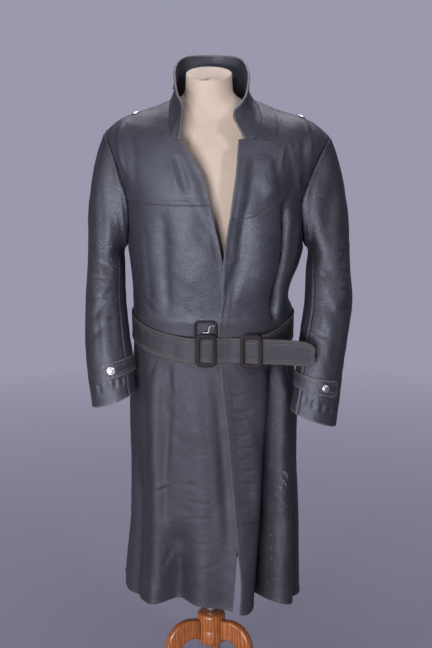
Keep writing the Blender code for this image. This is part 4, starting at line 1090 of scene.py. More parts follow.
def yoke_point(across, rise, front, lift=0.0):
    """A point of a yoke; across is -1 to 1 over the shoulders, rise 0 at the seam and 90 on top."""
    across, rise, lift = np.broadcast_arrays(across, rise, lift)
    _, _, front_y, back_y = body_section(np.asarray(YOKE_HEIGHT))
    centre, half = yoke_plan(rise)
    x = centre + across * half
    up = np.sin(np.radians(rise))
    level = np.cos(np.radians(rise))
    depth = front_y if front else back_y
    bow = (1.0 - np.abs(across) ** SQUARENESS) ** (1.0 / SQUARENESS)
    y = depth * bow * level
    z = YOKE_HEIGHT + (read_table(SHOULDER_LINE, 1, x) - YOKE_HEIGHT) * up
    angle = across_angle(across)
    if not front:
        angle = 180.0 - angle
    out_x = signed_power(across, SQUARENESS - 1.0) / half * level
    out_y = bow ** (SQUARENESS - 1.0) / depth * level
    size = np.hypot(out_x, out_y) + 1e-9
    move = lift + fold_depth(angle, z)
    flat = move * level / size
    return np.stack([x + flat * out_x, y + flat * out_y, z + move * up], axis=-1)


def grid_normals(points):
    """Unit normals of a grid of points, out of the side where columns turn to rows."""
    along = np.gradient(points, axis=1)
    up = np.gradient(points, axis=0)
    normals = np.cross(along, up)
    return normals / (np.linalg.norm(normals, axis=2, keepdims=True) + 1e-12)


def moved_out(points, distance):
    """A grid of points moved out along its normals."""
    return points + grid_normals(points) * distance[:, :, None]


def soften(points, times):
    """A row of points with its corners softened and its ends kept."""
    points = points.copy()
    for _ in range(times):
        points[1:-1] = (points[:-2] + 2.0 * points[1:-1] + points[2:]) / 4.0
    return points


def by_length(points, shares):
    """Turns shares of a row's length into shares of its points."""
    lengths = lengths_along(points)
    return np.interp(shares, lengths / lengths[-1], np.linspace(0.0, 1.0, len(points)))


def skirt_grid(start, end, width, step, lift):
    """Points of a skirt panel; start and end give the angle at a height."""
    fine = np.linspace(0.0, 1.0, FINE_COLUMNS)
    spread = np.asarray(FOLD_SPREAD_HEIGHT)
    low = start(spread) + (end(spread) - start(spread)) * fine
    share = by_length(body_point(low, spread, lift(low)), edge_shares(width, step))[None, :]
    row = edge_shares(WAIST_HEIGHT - HEM[0][1], step)[:, None]
    height = HEM[0][1] + (WAIST_HEIGHT - HEM[0][1]) * row
    for _ in range(2):
        angle = start(height) + (end(height) - start(height)) * share
        hem = hem_height(angle)
        height = hem + (WAIST_HEIGHT - hem) * row
    return body_point(angle, height, lift(angle))


def armhole_angles(side, toward, shares):
    """Angles along the lower half of an armhole; share 0 is at its knee and 1 at the side seam."""
    return side + toward * (90.0 - ARMHOLE_ANGLE) * np.cos(np.radians(90.0 * shares))


def chest_grid(columns, step, lift, level_from=360.0):
    """Points of a panel between waist seam and yoke seam; columns gives the angles at each height.

    Past the angle level_from, the seam stays as high as it is there.
    """
    row = edge_shares(YOKE_HEIGHT - WAIST_HEIGHT, step)[:, None]
    height = WAIST_HEIGHT + (YOKE_HEIGHT - WAIST_HEIGHT) * row
    for _ in range(2):
        angle = columns(height)
        top = armhole_height(np.minimum(angle, level_from))
        height = WAIST_HEIGHT + (top - WAIST_HEIGHT) * row
    return body_point(angle, height, lift(angle))


def left_chest_columns(height):
    """Angles of the left chest's columns."""
    plain = edge_shares(SPANS["chest_left"], STEP)[None, :-1]
    hole = np.linspace(0.0, 1.0, ARMHOLE_COLUMNS)[None, :] + 0.0 * height[:, :1]
    edge = left_edge(height[:, :1])
    return np.concatenate([edge + (ARMHOLE_ANGLE - edge) * plain, armhole_angles(90.0, -1.0, hole)], axis=1)


def right_chest_columns(height):
    """Angles of the right chest's columns."""
    plain = edge_shares(SPANS["chest_right"], STEP)[None, 1:]
    hole = np.linspace(1.0, 0.0, ARMHOLE_COLUMNS)[None, :] + 0.0 * height[:, :1]
    edge = right_edge(height[:, -1:])
    rest = -ARMHOLE_ANGLE + (edge + ARMHOLE_ANGLE) * plain
    return np.concatenate([armhole_angles(-90.0, 1.0, hole), rest], axis=1)


def back_chest_columns(height):
    """Angles of the back's columns."""
    hole = np.linspace(1.0, 0.0, BACK_ARMHOLE_COLUMNS)[None, :] + 0.0 * height[:, :1]
    knees = 180.0 - ARMHOLE_ANGLE, 180.0 + ARMHOLE_ANGLE
    plain = np.linspace(*knees, BACK_COLUMNS)[None, 1:-1] + 0.0 * height[:, :1]
    left = armhole_angles(90.0, 1.0, hole)
    right = armhole_angles(270.0, -1.0, hole[:, ::-1])
    return np.concatenate([left, plain, right], axis=1)


def yoke_rises(table, step):
    """Rises of a front yoke's rows: even ones, and those of its neck table above the collar's corner."""
    even = 90.0 * edge_shares(SPANS["front_yoke_rise"], step)
    corners = np.array([row[0] for row in table[1:-1] if row[0] > COLLAR_CORNER_RISE])
    clear = np.abs(even[:, None] - corners).min(axis=1) > CORNER_CLEAR
    return np.sort(np.concatenate([even[clear], corners]))


def below_collar(side):
    """Which rows of a front yoke lie below the collar's corner."""
    return yoke_rises(LEFT_NECK if side > 0 else RIGHT_NECK, STEP) <= COLLAR_CORNER_RISE


def front_yoke_grid(side):
    """Points of a front yoke; side is 1 for the wearer's left."""
    table = LEFT_NECK if side > 0 else RIGHT_NECK
    rise = yoke_rises(table, STEP)[:, None]
    share = edge_shares(SPANS["front_yoke"], STEP)[None, :]
    centre, half = yoke_plan(rise)
    inner = (read_straight(table, 1, rise) - centre) / half
    low = below_collar(side)
    inner[low] = soften(inner[low], EDGE_SOFTENING)
    if side < 0:
        return yoke_point(-ARMHOLE_ACROSS + (inner + ARMHOLE_ACROSS) * share, rise, True)
    across = inner + (ARMHOLE_ACROSS - inner) * share
    angle = across_angle(across)
    points = yoke_point(across, rise, True, left_lift(angle) * np.cos(np.radians(rise)))
    edge = left_edge(yoke_seam(angle[0])[0])
    on_seam = edge + (angle[0, -1] - edge) * (angle[0] - angle[0, 0]) / (angle[0, -1] - angle[0, 0])
    seam = body_point(on_seam, yoke_seam(on_seam), left_lift(on_seam))
    drawn = 1.0 - ease(rise / YOKE_SLANT_RISE)
    return points + (seam - points[0])[None] * drawn[:, :, None]


def back_yoke_grid():
    """Points of the back yoke, from the wearer's left armhole to the right one."""
    across = (ARMHOLE_ACROSS * (1.0 - 2.0 * edge_shares(SPANS["back_yoke"], BACK_STEP)))[None, :]
    share = edge_shares(SPANS["back_yoke_rise"], BACK_STEP)[:, None]
    centre, half = yoke_plan(90.0)
    neck_middle = (NECK_LEFT_X + NECK_RIGHT_X) / 2.0
    neck_half = (NECK_LEFT_X - NECK_RIGHT_X) / 2.0
    inside = np.clip(1.0 - ((centre + across * half - neck_middle) / neck_half) ** 2, 0.0, 1.0)
    top = 90.0 - (90.0 - NECK_BACK_RISE) * np.sqrt(inside)
    return yoke_point(across, share * top, False)


def armhole_point(turn, side):
    """A point of an armhole; turn is 0 on the shoulder, 90 at the front and 180 at the armpit."""
    turn = turn % 360.0
    front = turn <= 180.0
    toward = turn if front else 360.0 - turn
    if toward <= 90.0:
        return yoke_point(side * ARMHOLE_ACROSS, 90.0 - toward, front)
    share = (toward - 90.0) / 90.0
    from_front = ARMHOLE_ANGLE + (90.0 - ARMHOLE_ANGLE) * math.sin(share * math.pi / 2.0)
    angle = side * (from_front if front else 180.0 - from_front)
    return body_point(angle, armhole_height(angle))


def sleeve_ring(rows, height, turn, side):
    """Points of a sleeve below the armpit."""
    x, y, half_width, half_depth, tilt = [read_table(rows, column, height) for column in range(1, 6)]
    turn = np.radians(turn)
    out = half_width * np.cos(turn)
    lean = np.radians(tilt)
    return np.stack([
        x + side * out * np.cos(lean),
        y - half_depth * np.sin(turn),
        height - out * np.sin(lean),
    ], axis=-1)


def sleeve_fold(turn, run):
    """How far the largest folds move a sleeve out."""
    total = np.zeros(np.broadcast(turn, run).shape)
    for top_turn, top, low_turn, low, half_turn, depth in SLEEVE_FOLDS:
        share = np.clip((run - top) / (low - top), 0.0, 1.0)
        middle = top_turn + (low_turn - top_turn) * share
        aside = wrapped(turn - middle) / half_turn
        fade_in = ease((run - top) / SLEEVE_FOLD_FADE + SLEEVE_FOLD_BLUNT)
        fade_out = ease((low - run) / SLEEVE_FOLD_FADE + SLEEVE_FOLD_BLUNT)
        total += depth * fade_in * fade_out * bell(aside)
    return total


def sleeve_cap(turns, shares, side, rows):
    """Points of a sleeve from the armhole to below the armpit."""
    down = (1.0 - np.cos(np.radians(turns))) / 2.0
    out = LEAVE_OUT[0] + (LEAVE_OUT[1] - LEAVE_OUT[0]) * down
    up = LEAVE_UP[0] + (LEAVE_UP[1] - LEAVE_UP[0]) * down
    way = np.stack([side * out, 0.0 * down, up], axis=-1)
    way /= np.linalg.norm(way, axis=1, keepdims=True)
    start = np.array([armhole_point(turn, side) for turn in turns]) + SLEEVE_START * way
    top = np.asarray(rows[-1][0])
    end = sleeve_ring(rows, top, turns, side)
    below = sleeve_ring(rows, top - LEAVE_FALL, turns, side)
    fall = (below - end) / np.linalg.norm(below - end, axis=1, keepdims=True)
    reach = np.linalg.norm(end - start, axis=1, keepdims=True)
    return smooth_way(shares[:, None, None], start, end, way * reach, fall * reach)


def sleeve_grid(turns, runs, side, lift=0.0):
    """Points of a part of a sleeve with its largest folds, moved out by lift."""
    rows = SLEEVE_LEFT if side > 0 else SLEEVE_RIGHT
    top = rows[-1][0]
    low = rows[0][0]
    cap = runs[runs < SLEEVE_CAP_SHARE] / SLEEVE_CAP_SHARE
    arm = (runs[runs >= SLEEVE_CAP_SHARE] - SLEEVE_CAP_SHARE) / (1.0 - SLEEVE_CAP_SHARE)
    height = (top + (low - top) * arm)[:, None]
    plain = sleeve_ring(rows, height, turns[None, :] + 0.0 * height, side)
    if len(cap):
        plain = np.concatenate([sleeve_cap(turns, cap, side, rows), plain])
    move = lift + sleeve_fold(turns[None, :], runs[:, None])
    return moved_out(plain, side * move)


def facing_out(points, side):
    """Turns the columns of a sleeve's grid so that its walls face out."""
    return points if side > 0 else points[:, ::-1]


def strap_grid(side, name):
    """Points of a cuff strap on the front of a sleeve, with a rounded outer end."""
    outer, inner, _, high, low = STRAPS[name]
    along_step, across_step = CUFF_STRAP_STEPS
    columns = edge_shares(SPANS["strap_length"], along_step)
    runs = high + (low - high) * edge_shares(SPANS["strap_width"], across_step)
    points = sleeve_grid(outer + (inner - outer) * columns, runs, side, LAY_GAP + STRAP_WALL)
    middle = points[len(points) // 2]
    narrow = round_tip(columns / STRAP_TIP_SHARE, STRAP_TIP_NARROW)
    return middle + (points - middle) * narrow[None, :, None]


def neck_seam(left_yoke, right_yoke, back_yoke):
    """Evenly spaced points of the neck seam on the yokes, and their shares of the collar's length."""
    left = left_yoke[:, 0][yoke_rises(LEFT_NECK, STEP) > COLLAR_CORNER_RISE]
    right = right_yoke[:, -1][yoke_rises(RIGHT_NECK, STEP) > COLLAR_CORNER_RISE][::-1]
    back = back_yoke[-1]
    back = back[(back[:, 0] < NECK_LEFT_X - NECK_CLEAR) & (back[:, 0] > NECK_RIGHT_X + NECK_CLEAR)]
    shares = []
    ends = (0.0, COLLAR_SIDE_SHARE, 1.0 - COLLAR_SIDE_SHARE, 1.0)
    joined = (left, np.concatenate([left[-1:], back, right[:1]]), right)
    for low, high, row in zip(ends[:-1], ends[1:], joined):
        lengths = lengths_along(row)
        shares.append(low + (high - low) * lengths / lengths[-1])
    seam = np.concatenate([left, back, right])
    along = np.concatenate([shares[0], shares[1][1:-1], shares[2]])
    lengths = lengths_along(seam)
    at = lengths[-1] * edge_shares(lengths[-1], COLLAR_STEP)
    return soften(read_points(at, lengths, seam), EDGE_SOFTENING), np.interp(at, lengths, along)


def round_corners(rise, distance):
    """Share of the collar's height that is left next to its front ends."""
    inside = np.clip(1.0 - distance / COLLAR_CORNER, 0.0, 1.0)
    return 1.0 - COLLAR_CORNER / rise * (1.0 - np.sqrt(1.0 - inside**2))


def collar_grid(left_yoke, right_yoke, back_yoke):
    """Points of the collar from the neck seam to its top edge."""
    base, along = neck_seam(left_yoke, right_yoke, back_yoke)
    table = curve_through(COLLAR_TOP, along)
    top, bulge = table[:, :3], table[:, 3:]
    lengths = lengths_along(top)
    rise = np.linalg.norm(top - base, axis=1)
    kept = round_corners(rise, np.minimum(lengths, lengths[-1] - lengths))
    top = base + (top - base) * kept[:, None]
    share = edge_shares(COLLAR_HEIGHT, NARROW_STEP)[:, None, None]
    plain = base[None] + (top - base)[None] * share
    return plain + grid_normals(plain) * bulge * np.sin(np.pi * share)


def belt_lift(angle):
    """How far the belt strap stands out of the plain body, to reach both buckles."""
    turn = wrapped(angle)
    low, high = BELT_RISE_ANGLES
    to_right_buckle = BELT_OVER_LIFT * ease((turn - low) / (high - low)) * (turn < 0.0)
    to_left_buckle = BELT_OFF_LIFT * ease((BELT_OFF_ANGLE - turn) / (BELT_OFF_ANGLE - BELT_START_ANGLE))
    return to_right_buckle + to_left_buckle * (turn > 0.0)


def strap_over_body(angles, lift):
    """Points of a strap round the waist, lift above the plain body."""
    step = (edge_shares(BELT_WIDTH, NARROW_STEP) - 0.5)[:, None] * BELT_WIDTH
    height = belt_height(angles)[None, :] + step
    return body_point(angles[None, :], height, lift[None, :])


def belt_grid():
    """Points of the belt strap round the waist."""
    angles = BELT_START_ANGLE + (BELT_END_ANGLE - BELT_START_ANGLE) * edge_shares(1.0, BELT_RUN_STEP)
    return strap_over_body(angles, belt_lift(angles) + BELT_GAP + BELT_WALL)


def tongue_grid():
    """Points of the tongue, from behind the first buckle to its rounded free end."""
    laid = np.linspace(TONGUE_START_ANGLE, TONGUE_LEAVE_ANGLE, TONGUE_LAID_COLUMNS)
    flat = strap_over_body(laid, left_lift(laid) + BELT_GAP + BELT_WALL)
    middle = flat[len(flat) // 2]
    free = curve_through([middle[-1], *TONGUE_FREE], edge_shares(SPANS["tongue"], TONGUE_STEP))
    path = np.concatenate([middle, free[1:]])
    lengths = lengths_along(path)
    narrow = round_tip((lengths[-1] - lengths) / TONGUE_TIP_LENGTH, TONGUE_TIP_NARROW)
    across = (edge_shares(BELT_WIDTH, NARROW_STEP) - 0.5)[:, None] * BELT_WIDTH * narrow[None, :]
    points = np.repeat(path[None], len(across), axis=0)
    points[:, :, 2] += across
    return points


# Relief of the cloth

def waves(points):
    """Slow unevenness of the leather."""
    chance = np.random.default_rng(WAVE_SEED)
    total = np.zeros(points.shape[:2])
    for length, height in WAVES:
        for _ in range(WAVES_EACH):
            way = chance.normal(size=3) * WAVE_STRETCH
            way /= np.linalg.norm(way)
            phase = chance.uniform(0.0, 2.0 * math.pi)
            total += height / WAVES_EACH * np.sin(points @ way * 2.0 * math.pi / length + phase)
    return total


def crease_lift(points, rows):
    """Soft troughs and ridges along bowed lines, seen from the front or back."""
    x = points[:, :, 0]
    z = points[:, :, 2]
    total = np.zeros(x.shape)
    for x1, z1, x2, z2, bow, half_width, depth in rows:
        length = math.hypot(x2 - x1, z2 - z1)
        along = ((x - x1) * (x2 - x1) + (z - z1) * (z2 - z1)) / length**2
        aside = ((x - x1) * (z2 - z1) - (z - z1) * (x2 - x1)) / length
        aside = (aside - bow * 4.0 * along * (1.0 - along)) / half_width
        taper = ease(along / CREASE_TAPER) * ease((1.0 - along) / CREASE_TAPER)
        banks = BANK_DEPTH * bell((np.abs(aside) - BANK_PLACE) / BANK_WIDTH)
        total += depth * taper * (bell(aside) - banks)
    return total


def pucker_rows():
    """The puckers beside the left front's band, as creases."""
    rows = []
    for height, length, half_width, depth in PUCKERS:
        start = read_table(LEFT_EDGE, 1, height) + read_table(BAND_WIDTH, 1, height) + PUCKER_GAP
        low = height - PUCKER_SLOPE * length
        rows.append((start, height, start + length, low, PUCKER_BOW, half_width, depth))
    return rows


def mark_lift(points):
    """The open ring that a button has pressed into the right yoke."""
    x = points[:, :, 0] - MARK_PLACE[0]
    z = points[:, :, 2] - MARK_PLACE[1]
    ring = bell((np.hypot(x, z) - MARK_RADIUS) / MARK_SOFTNESS)
    open_side = ease(x / MARK_RADIUS + MARK_OPEN_SHARE)
    return MARK_DEPTH * ring * open_side


def edge_distances(points):
    """Distance along the cloth from each of a grid's four edges."""
    across = np.linalg.norm(np.diff(points, axis=1), axis=2)
    up = np.linalg.norm(np.diff(points, axis=0), axis=2)
    left = np.concatenate([np.zeros((len(points), 1)), np.cumsum(across, axis=1)], axis=1)
    low = np.concatenate([np.zeros((1, points.shape[1])), np.cumsum(up, axis=0)])
    return {"left": left, "right": left[:, -1:] - left, "low": low, "top": low[-1:] - low}


def edge_relief(style, away, along):
    """Relief next to an edge: away from it and along it."""
    total = 0.0 * away
    if style in EDGE_ROLLS:
        height, roll_end, fade = EDGE_ROLLS[style]
        total = height * (1.0 - ease((away - roll_end) / fade))
    for grooved, depth, place, half_width in EDGE_GROOVES:
        if grooved == style:
            total = total - depth * bell((away - place) / half_width)
    if style in EDGE_GATHERS:
        even, height, pitch, sway, sway_rate, place, half_width = EDGE_GATHERS[style]
        gathers = np.sin(along * 2.0 * math.pi / pitch + sway * np.sin(along * sway_rate))
        total = total + (even + height * gathers) * bell((away - place) / half_width)
    return total


def crease_relief(points, names, facing):
    """The creases of some views where the cloth faces them: 1 for the front and -1 for the back."""
    toward = np.clip(-facing * grid_normals(points)[:, :, 1] * FACING_GAIN, 0.0, 1.0)
    total = np.zeros(points.shape[:2])
    for name in names:
        total += crease_lift(points, CREASE_ROWS[name])
    return total * toward


def relief(points, creases, styles, facing):
    """All the relief of a panel: creases, unevenness and edges."""
    total = waves(points) + crease_relief(points, creases, facing)
    away = edge_distances(points)
    for edge, style in styles.items():
        along = away["low"] if edge in ("left", "right") else away["left"]
        total += edge_relief(style, away[edge], along)
    return total


def band_relief(points):
    """The stitched band along the left front's edge."""
    away = edge_distances(points)["left"]
    width = read_table(BAND_WIDTH, 1, points[:, :, 2])
    rise = BAND_RISE * (1.0 - ease((away - width) / BAND_FADE))
    return rise - BAND_GROOVE * bell((away - width) / BAND_GROOVE_WIDTH)


def curl_relief(points):
    """The curl of the right front's free edge."""
    away = edge_distances(points)["right"]
    low, low_full, top_full, top = CURL_HEIGHTS
    z = points[:, :, 2]
    within = ease((z - low) / (low_full - low)) * ease((top - z) / (top - top_full))
    return -CURL_DEPTH * within * (1.0 - ease(away / CURL_WIDTH))


def body_angle(points):
    """Angle of points round the body."""
    return np.degrees(np.arctan2(points[:, :, 0], -points[:, :, 1]))


CREASE_ROWS = dict(CREASES)
CREASE_ROWS["puckers"] = pucker_rows()


# Meshes

def place_on_body(item, look):
    """Gives a piece its material and the body that it rides on."""
    item.data.materials.append(look)
    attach(item, "root")
    return item


def new_object(name, vertices, faces):
    """A smooth mesh object, moved from the form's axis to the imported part's place."""
    mesh = bpy.data.meshes.new(name)
    mesh.from_pydata((np.asarray(vertices) + AXIS).tolist(), [], faces)
    mesh.polygons.foreach_set("use_smooth", [True] * len(mesh.polygons))
    mesh.update()
    item = bpy.data.objects.new(name, mesh)
    bpy.context.scene.collection.objects.link(item)
    return item


def grid_faces(rows, columns):
    """Faces of a grid of points, as an array."""
    first = (np.arange(rows - 1)[:, None] * columns + np.arange(columns - 1)[None, :]).ravel()
    return np.stack([first, first + 1, first + columns + 1, first + columns], axis=1)


def border(rows, columns):
    """Indices round a grid's border, once round."""
    grid = np.arange(rows * columns).reshape(rows, columns)
    return np.concatenate([grid[0, :-1], grid[:-1, -1], grid[-1, :0:-1], grid[:0:-1, 0]])


def outward(points, styles):
    """How far a grid's folded edges bulge, as vectors out of the panel."""
    away = np.zeros(points.shape)
    sides = {
        "low": (np.s_[0], np.s_[1]),
        "top": (np.s_[-1], np.s_[-2]),
        "left": (np.s_[:, 0], np.s_[:, 1]),
        "right": (np.s_[:, -1], np.s_[:, -2]),
    }
    for edge, (rim, inner) in sides.items():
        if styles.get(edge) in ("fold", "ribbed"):
            step = points[rim] - points[inner]
            away[rim] += step / (np.linalg.norm(step, axis=1, keepdims=True) + 1e-12)
    return away


def ridges(points, normals, reach=2):
    """How much the cloth stands out of its surroundings, from 0 to 1."""
    padded = np.pad(points, ((reach, reach), (reach, reach), (0, 0)), mode="edge")
    rows, columns = points.shape[:2]
    around = (
        padded[:rows, reach:-reach] + padded[2 * reach:, reach:-reach]
        + padded[reach:-reach, :columns] + padded[reach:-reach, 2 * reach:]
    ) / 4.0
    out = ((points - around) * normals).sum(axis=2)
    calm = np.ones(out.shape)
    calm[:RIDGE_BORDER] = calm[-RIDGE_BORDER:] = 0.0
    calm[:, :RIDGE_BORDER] = calm[:, -RIDGE_BORDER:] = 0.0
    return np.clip(out / RIDGE_FULL, 0.0, 1.0) * calm


def rubbing_and_sheen(points):
    """How much each point lies in a rubbed patch; most patches are also painted highlights where the light's
    gloss falls.
    """
    total = np.zeros(points.shape[:2])
    for x, z, half_width, half_height, strength in RUBBED_AND_SHEEN:
        across = bell((points[:, :, 0] - x) / half_width)
        total += strength * across * bell((points[:, :, 2] - z) / half_height)
    return np.clip(total, 0.0, 1.0)


def edge_wear(points, styles):
    """Wear along folded and lapped edges."""
    away = edge_distances(points)
    total = np.zeros(points.shape[:2])
    for edge, style in styles.items():
        total = np.maximum(total, EDGE_WEAR.get(style, 0.0) * bell(away[edge] / EDGE_WEAR_WIDTH))
    return total


def set_attribute(item, name, values):
    """A value for each point of a mesh, for its material."""
    attribute = item.data.attributes.new(name, "FLOAT", "POINT")
    attribute.data.foreach_set("value", np.asarray(values, dtype=np.float32))


def add_shell(
    name, points, wall, styles, look, inside, worn=1.0,
):
    """A cloth shell over a grid of outer points, with rounded folded edges; it stands for its CAD node."""
    rows, columns = points.shape[:2]
    normals = grid_normals(points)
    wall = np.broadcast_to(wall, (rows, columns))[:, :, None]
    inner = points - normals * wall
    loop = border(rows, columns)
    middle = ((points + inner) / 2.0 + outward(points, styles) * wall * RIM_BULGE).reshape(-1, 3)[loop]
    size = rows * columns
    vertices = np.concatenate([points.reshape(-1, 3), inner.reshape(-1, 3), middle])
    outer_faces = grid_faces(rows, columns)
    inner_faces = (outer_faces + size)[:, ::-1]
    ring = np.arange(len(loop)) + 2 * size
    after = np.roll(ring, -1)
    next_loop = np.roll(loop, -1)
    rim_out = np.stack([ring, after, next_loop, loop], axis=1)
    rim_in = np.stack([loop + size, next_loop + size, after, ring], axis=1)
    faces = np.concatenate([outer_faces, rim_out, rim_in, inner_faces])
    item = new_object(f"{name}_leather", vertices, faces.tolist())
    wear = edge_wear(points, styles) * worn
    set_attribute(item, "wear", np.concatenate([wear.ravel(), wear.ravel(), wear.ravel()[loop]]))
    ridge = ridges(points, normals).ravel()
    set_attribute(item, "ridge", np.concatenate([ridge, 0.0 * ridge, ridge[loop]]))
    # Rubbed patches, partly painted highlights where the light's gloss falls
    rub_and_sheen = rubbing_and_sheen(points).ravel()
    set_attribute(item, "rub_and_sheen", np.concatenate([rub_and_sheen, 0.0 * rub_and_sheen, rub_and_sheen[loop]]))
    place_on_body(item, look)
    item.data.materials.append(inside)
    which = np.zeros(len(faces), dtype=np.int32)
    which[-len(inner_faces):] = 1
    item.data.polygons.foreach_set("material_index", which)
    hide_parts(name)
    return item


def stitch_path(points, edge, distance):
    """Points and normals along a line at a distance from a grid's edge, or at one for each row."""
    away = edge_distances(points)[edge]
    normals = grid_normals(points)
    if edge in ("low", "top"):
        away, points, normals = away.T, points.transpose(1, 0, 2), normals.transpose(1, 0, 2)
    if edge in ("right", "top"):
        away, points, normals = away[:, ::-1], points[:, ::-1], normals[:, ::-1]
    distances = np.broadcast_to(distance, len(away))
    places = [read_points(*row) for row in zip(distances, away, points)]
    outs = [read_points(*row) for row in zip(distances, away, normals)]
    return np.array(places), np.array(outs)


def stitches_along(path, outs):
    """Places, directions and normals of evenly spaced stitches along a path."""
    lengths = lengths_along(path)
    at = np.arange(STITCH_SKIP, lengths[-1] - STITCH_SKIP, STITCH_PITCH)
    spot = read_points(at, lengths, path)
    way = read_points(at + STITCH_AHEAD, lengths, path) - spot
    good = np.linalg.norm(way, axis=1) > 1e-6
    return spot[good], way[good], read_points(at, lengths, outs)[good]


def ring_faces(count, size, steps):
    """Faces between closed rings of points: steps is one less than count, or count to join the ends."""
    faces = []
    for i in range(steps):
        n = (i + 1) % count
        for j in range(size):
            k = (j + 1) % size
            faces.append((i * size + j, i * size + k, n * size + k, n * size + j))
    return faces


def thread_mesh(rows):
    """Vertices and faces of stitches: short threads, thick in their middle."""
    spot, way, out = [np.concatenate([row[part] for row in rows]) for part in range(3)]
    way = way / np.linalg.norm(way, axis=1, keepdims=True)
    out = out - way * (out * way).sum(axis=1, keepdims=True)
    out = out / np.linalg.norm(out, axis=1, keepdims=True)
    aside = np.cross(way, out)
    centre = spot - out * STITCH_SINK
    rings = []
    for place, thick, drop in THREAD_RINGS:
        middle = centre + way * STITCH_LENGTH * place - out * STITCH_RADIUS * drop
        for turn in np.linspace(0.0, 2.0 * math.pi, THREAD_SIDES, endpoint=False):
            rings.append(middle + STITCH_RADIUS * thick * (math.cos(turn) * out + math.sin(turn) * aside))
    vertices = np.stack(rings, axis=1)
    count = len(THREAD_RINGS)
    quads = np.array(ring_faces(count, THREAD_SIDES, count - 1))[:, ::-1]
    first = np.arange(THREAD_SIDES)
    caps = np.stack([first, count * THREAD_SIDES - 1 - first])
    offsets = (np.arange(len(spot)) * len(rings))[:, None, None]
    faces = (quads + offsets).reshape(-1, 4).tolist() + (caps + offsets).reshape(-1, THREAD_SIDES).tolist()
    return vertices.reshape(-1, 3), faces


def add_threads(name, rows, look):
    """One joined mesh of stitches."""
    vertices, faces = thread_mesh(rows)
    return place_on_body(new_object(name, vertices, faces), look)


def ring_stack(rings):
    """Vertices and faces of a solid through closed rings, with its ends closed."""
    rings = np.asarray(rings)
    count, size = rings.shape[:2]
    faces = ring_faces(count, size, count - 1)
    faces.append(tuple(range(size))[::-1])
    faces.append(tuple((count - 1) * size + j for j in range(size)))
    return rings.reshape(-1, 3), faces


def turned(profile, size):
    """A solid turned round the Z axis from a table of radius and height."""
    angles = np.linspace(0.0, 2.0 * math.pi, size, endpoint=False)
    rings = []
    for radius, height in profile:
        level = np.full(size, height)
        rings.append(np.stack([radius * np.cos(angles), radius * np.sin(angles), level], axis=-1))
    return ring_stack(rings)


def pointing(position, direction):
    """A placement whose Z axis points along a direction."""
    turn = Vector(direction).to_track_quat("Z", "Y").to_matrix().to_4x4()
    return Matrix.Translation(Vector(position)) @ turn


def placed(vertices, place):
    """Vertices moved by a placement."""
    return np.array([place @ Vector(vertex) for vertex in vertices])


def add_piece(name, node, mesh, look):
    """An object made of vertices and faces, which stands for its CAD node."""
    item = place_on_body(new_object(name, *mesh), look)
    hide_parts(node)
    return item


def add_button(node, profile, size, place, look):
    """A turned button at its place on the cloth."""
    vertices, faces = turned(profile, size)
    add_piece(f"{node}_turned", node, (placed(vertices, place), faces), look)


# Materials

def add_node(tree, kind, **values):
    """A shader node; values are its properties, or its inputs when given by a name in inputs."""
    made = tree.nodes.new(kind)
    inputs = values.pop("inputs", {})
    for name, value in values.items():
        setattr(made, name, value)
    for name, value in inputs.items():
        made.inputs[name].default_value = value
    return made


def new_material(name):
    """A node material, its tree, its shader and its object coordinates."""
    material = bpy.data.materials.new(name)
    material.use_nodes = True
    tree = material.node_tree
    shader = tree.nodes["Principled BSDF"]
    place = add_node(tree, "ShaderNodeTexCoord").outputs["Object"]
    return material, tree, shader, place


def add_noise(tree, place, scale, detail=3.0, roughness=0.55):
    """A noise texture's value."""
    made = add_node(tree, "ShaderNodeTexNoise", inputs={
        "Scale": scale, "Detail": detail, "Roughness": roughness,
    })
    tree.links.new(place, made.inputs["Vector"])
    return made.outputs["Fac"]


def add_cells(tree, place, scale):
    """A cell texture's distance from each cell's middle."""
    made = add_node(tree, "ShaderNodeTexVoronoi", feature="SMOOTH_F1", inputs={
        "Scale": scale, "Smoothness": 0.6,
    })
    tree.links.new(place, made.inputs["Vector"])
    return made.outputs["Distance"]


def add_range(tree, value, low, high, to_low=0.0, to_high=1.0):
    """A value taken from one range to another, kept inside it."""
    made = add_node(tree, "ShaderNodeMapRange", inputs={
        "From Min": low, "From Max": high, "To Min": to_low, "To Max": to_high,
    })
    tree.links.new(value, made.inputs["Value"])
    return made.outputs["Result"]


def add_math(tree, operation, first, second):
    """Two values joined by an operation; either may be a number."""
    made = add_node(tree, "ShaderNodeMath", operation=operation)
    for socket, value in zip(made.inputs, (first, second)):
        if isinstance(value, (int, float)):
            socket.default_value = value
        else:
            tree.links.new(value, socket)
    return made.outputs["Value"]


def add_mix(tree, share, first, second):
    """Two colours mixed; each is a colour or an output."""
    made = add_node(tree, "ShaderNodeMix", data_type="RGBA")
    tree.links.new(share, made.inputs["Factor"])
    for socket, value in ((made.inputs[6], first), (made.inputs[7], second)):
        if isinstance(value, tuple):
            socket.default_value = (*value, 1.0)
        else:
            tree.links.new(value, socket)
    return made.outputs[2]


def add_bump(tree, height, strength, distance, below=None):
    """A bump from a height, on top of another one."""
    made = add_node(tree, "ShaderNodeBump", inputs={"Strength": strength, "Distance": distance})
    tree.links.new(height, made.inputs["Height"])
    if below is not None:
        tree.links.new(below, made.inputs["Normal"])
    return made.outputs["Normal"]


def stretched(tree, place, scale):
    """Coordinates stretched along the axes."""
    made = add_node(tree, "ShaderNodeMapping", inputs={"Scale": scale})
    tree.links.new(place, made.inputs["Vector"])
    return made.outputs["Vector"]


def point_value(tree, name):
    """A value stored on the mesh's points."""
    return add_node(tree, "ShaderNodeAttribute", attribute_name=name).outputs["Fac"]


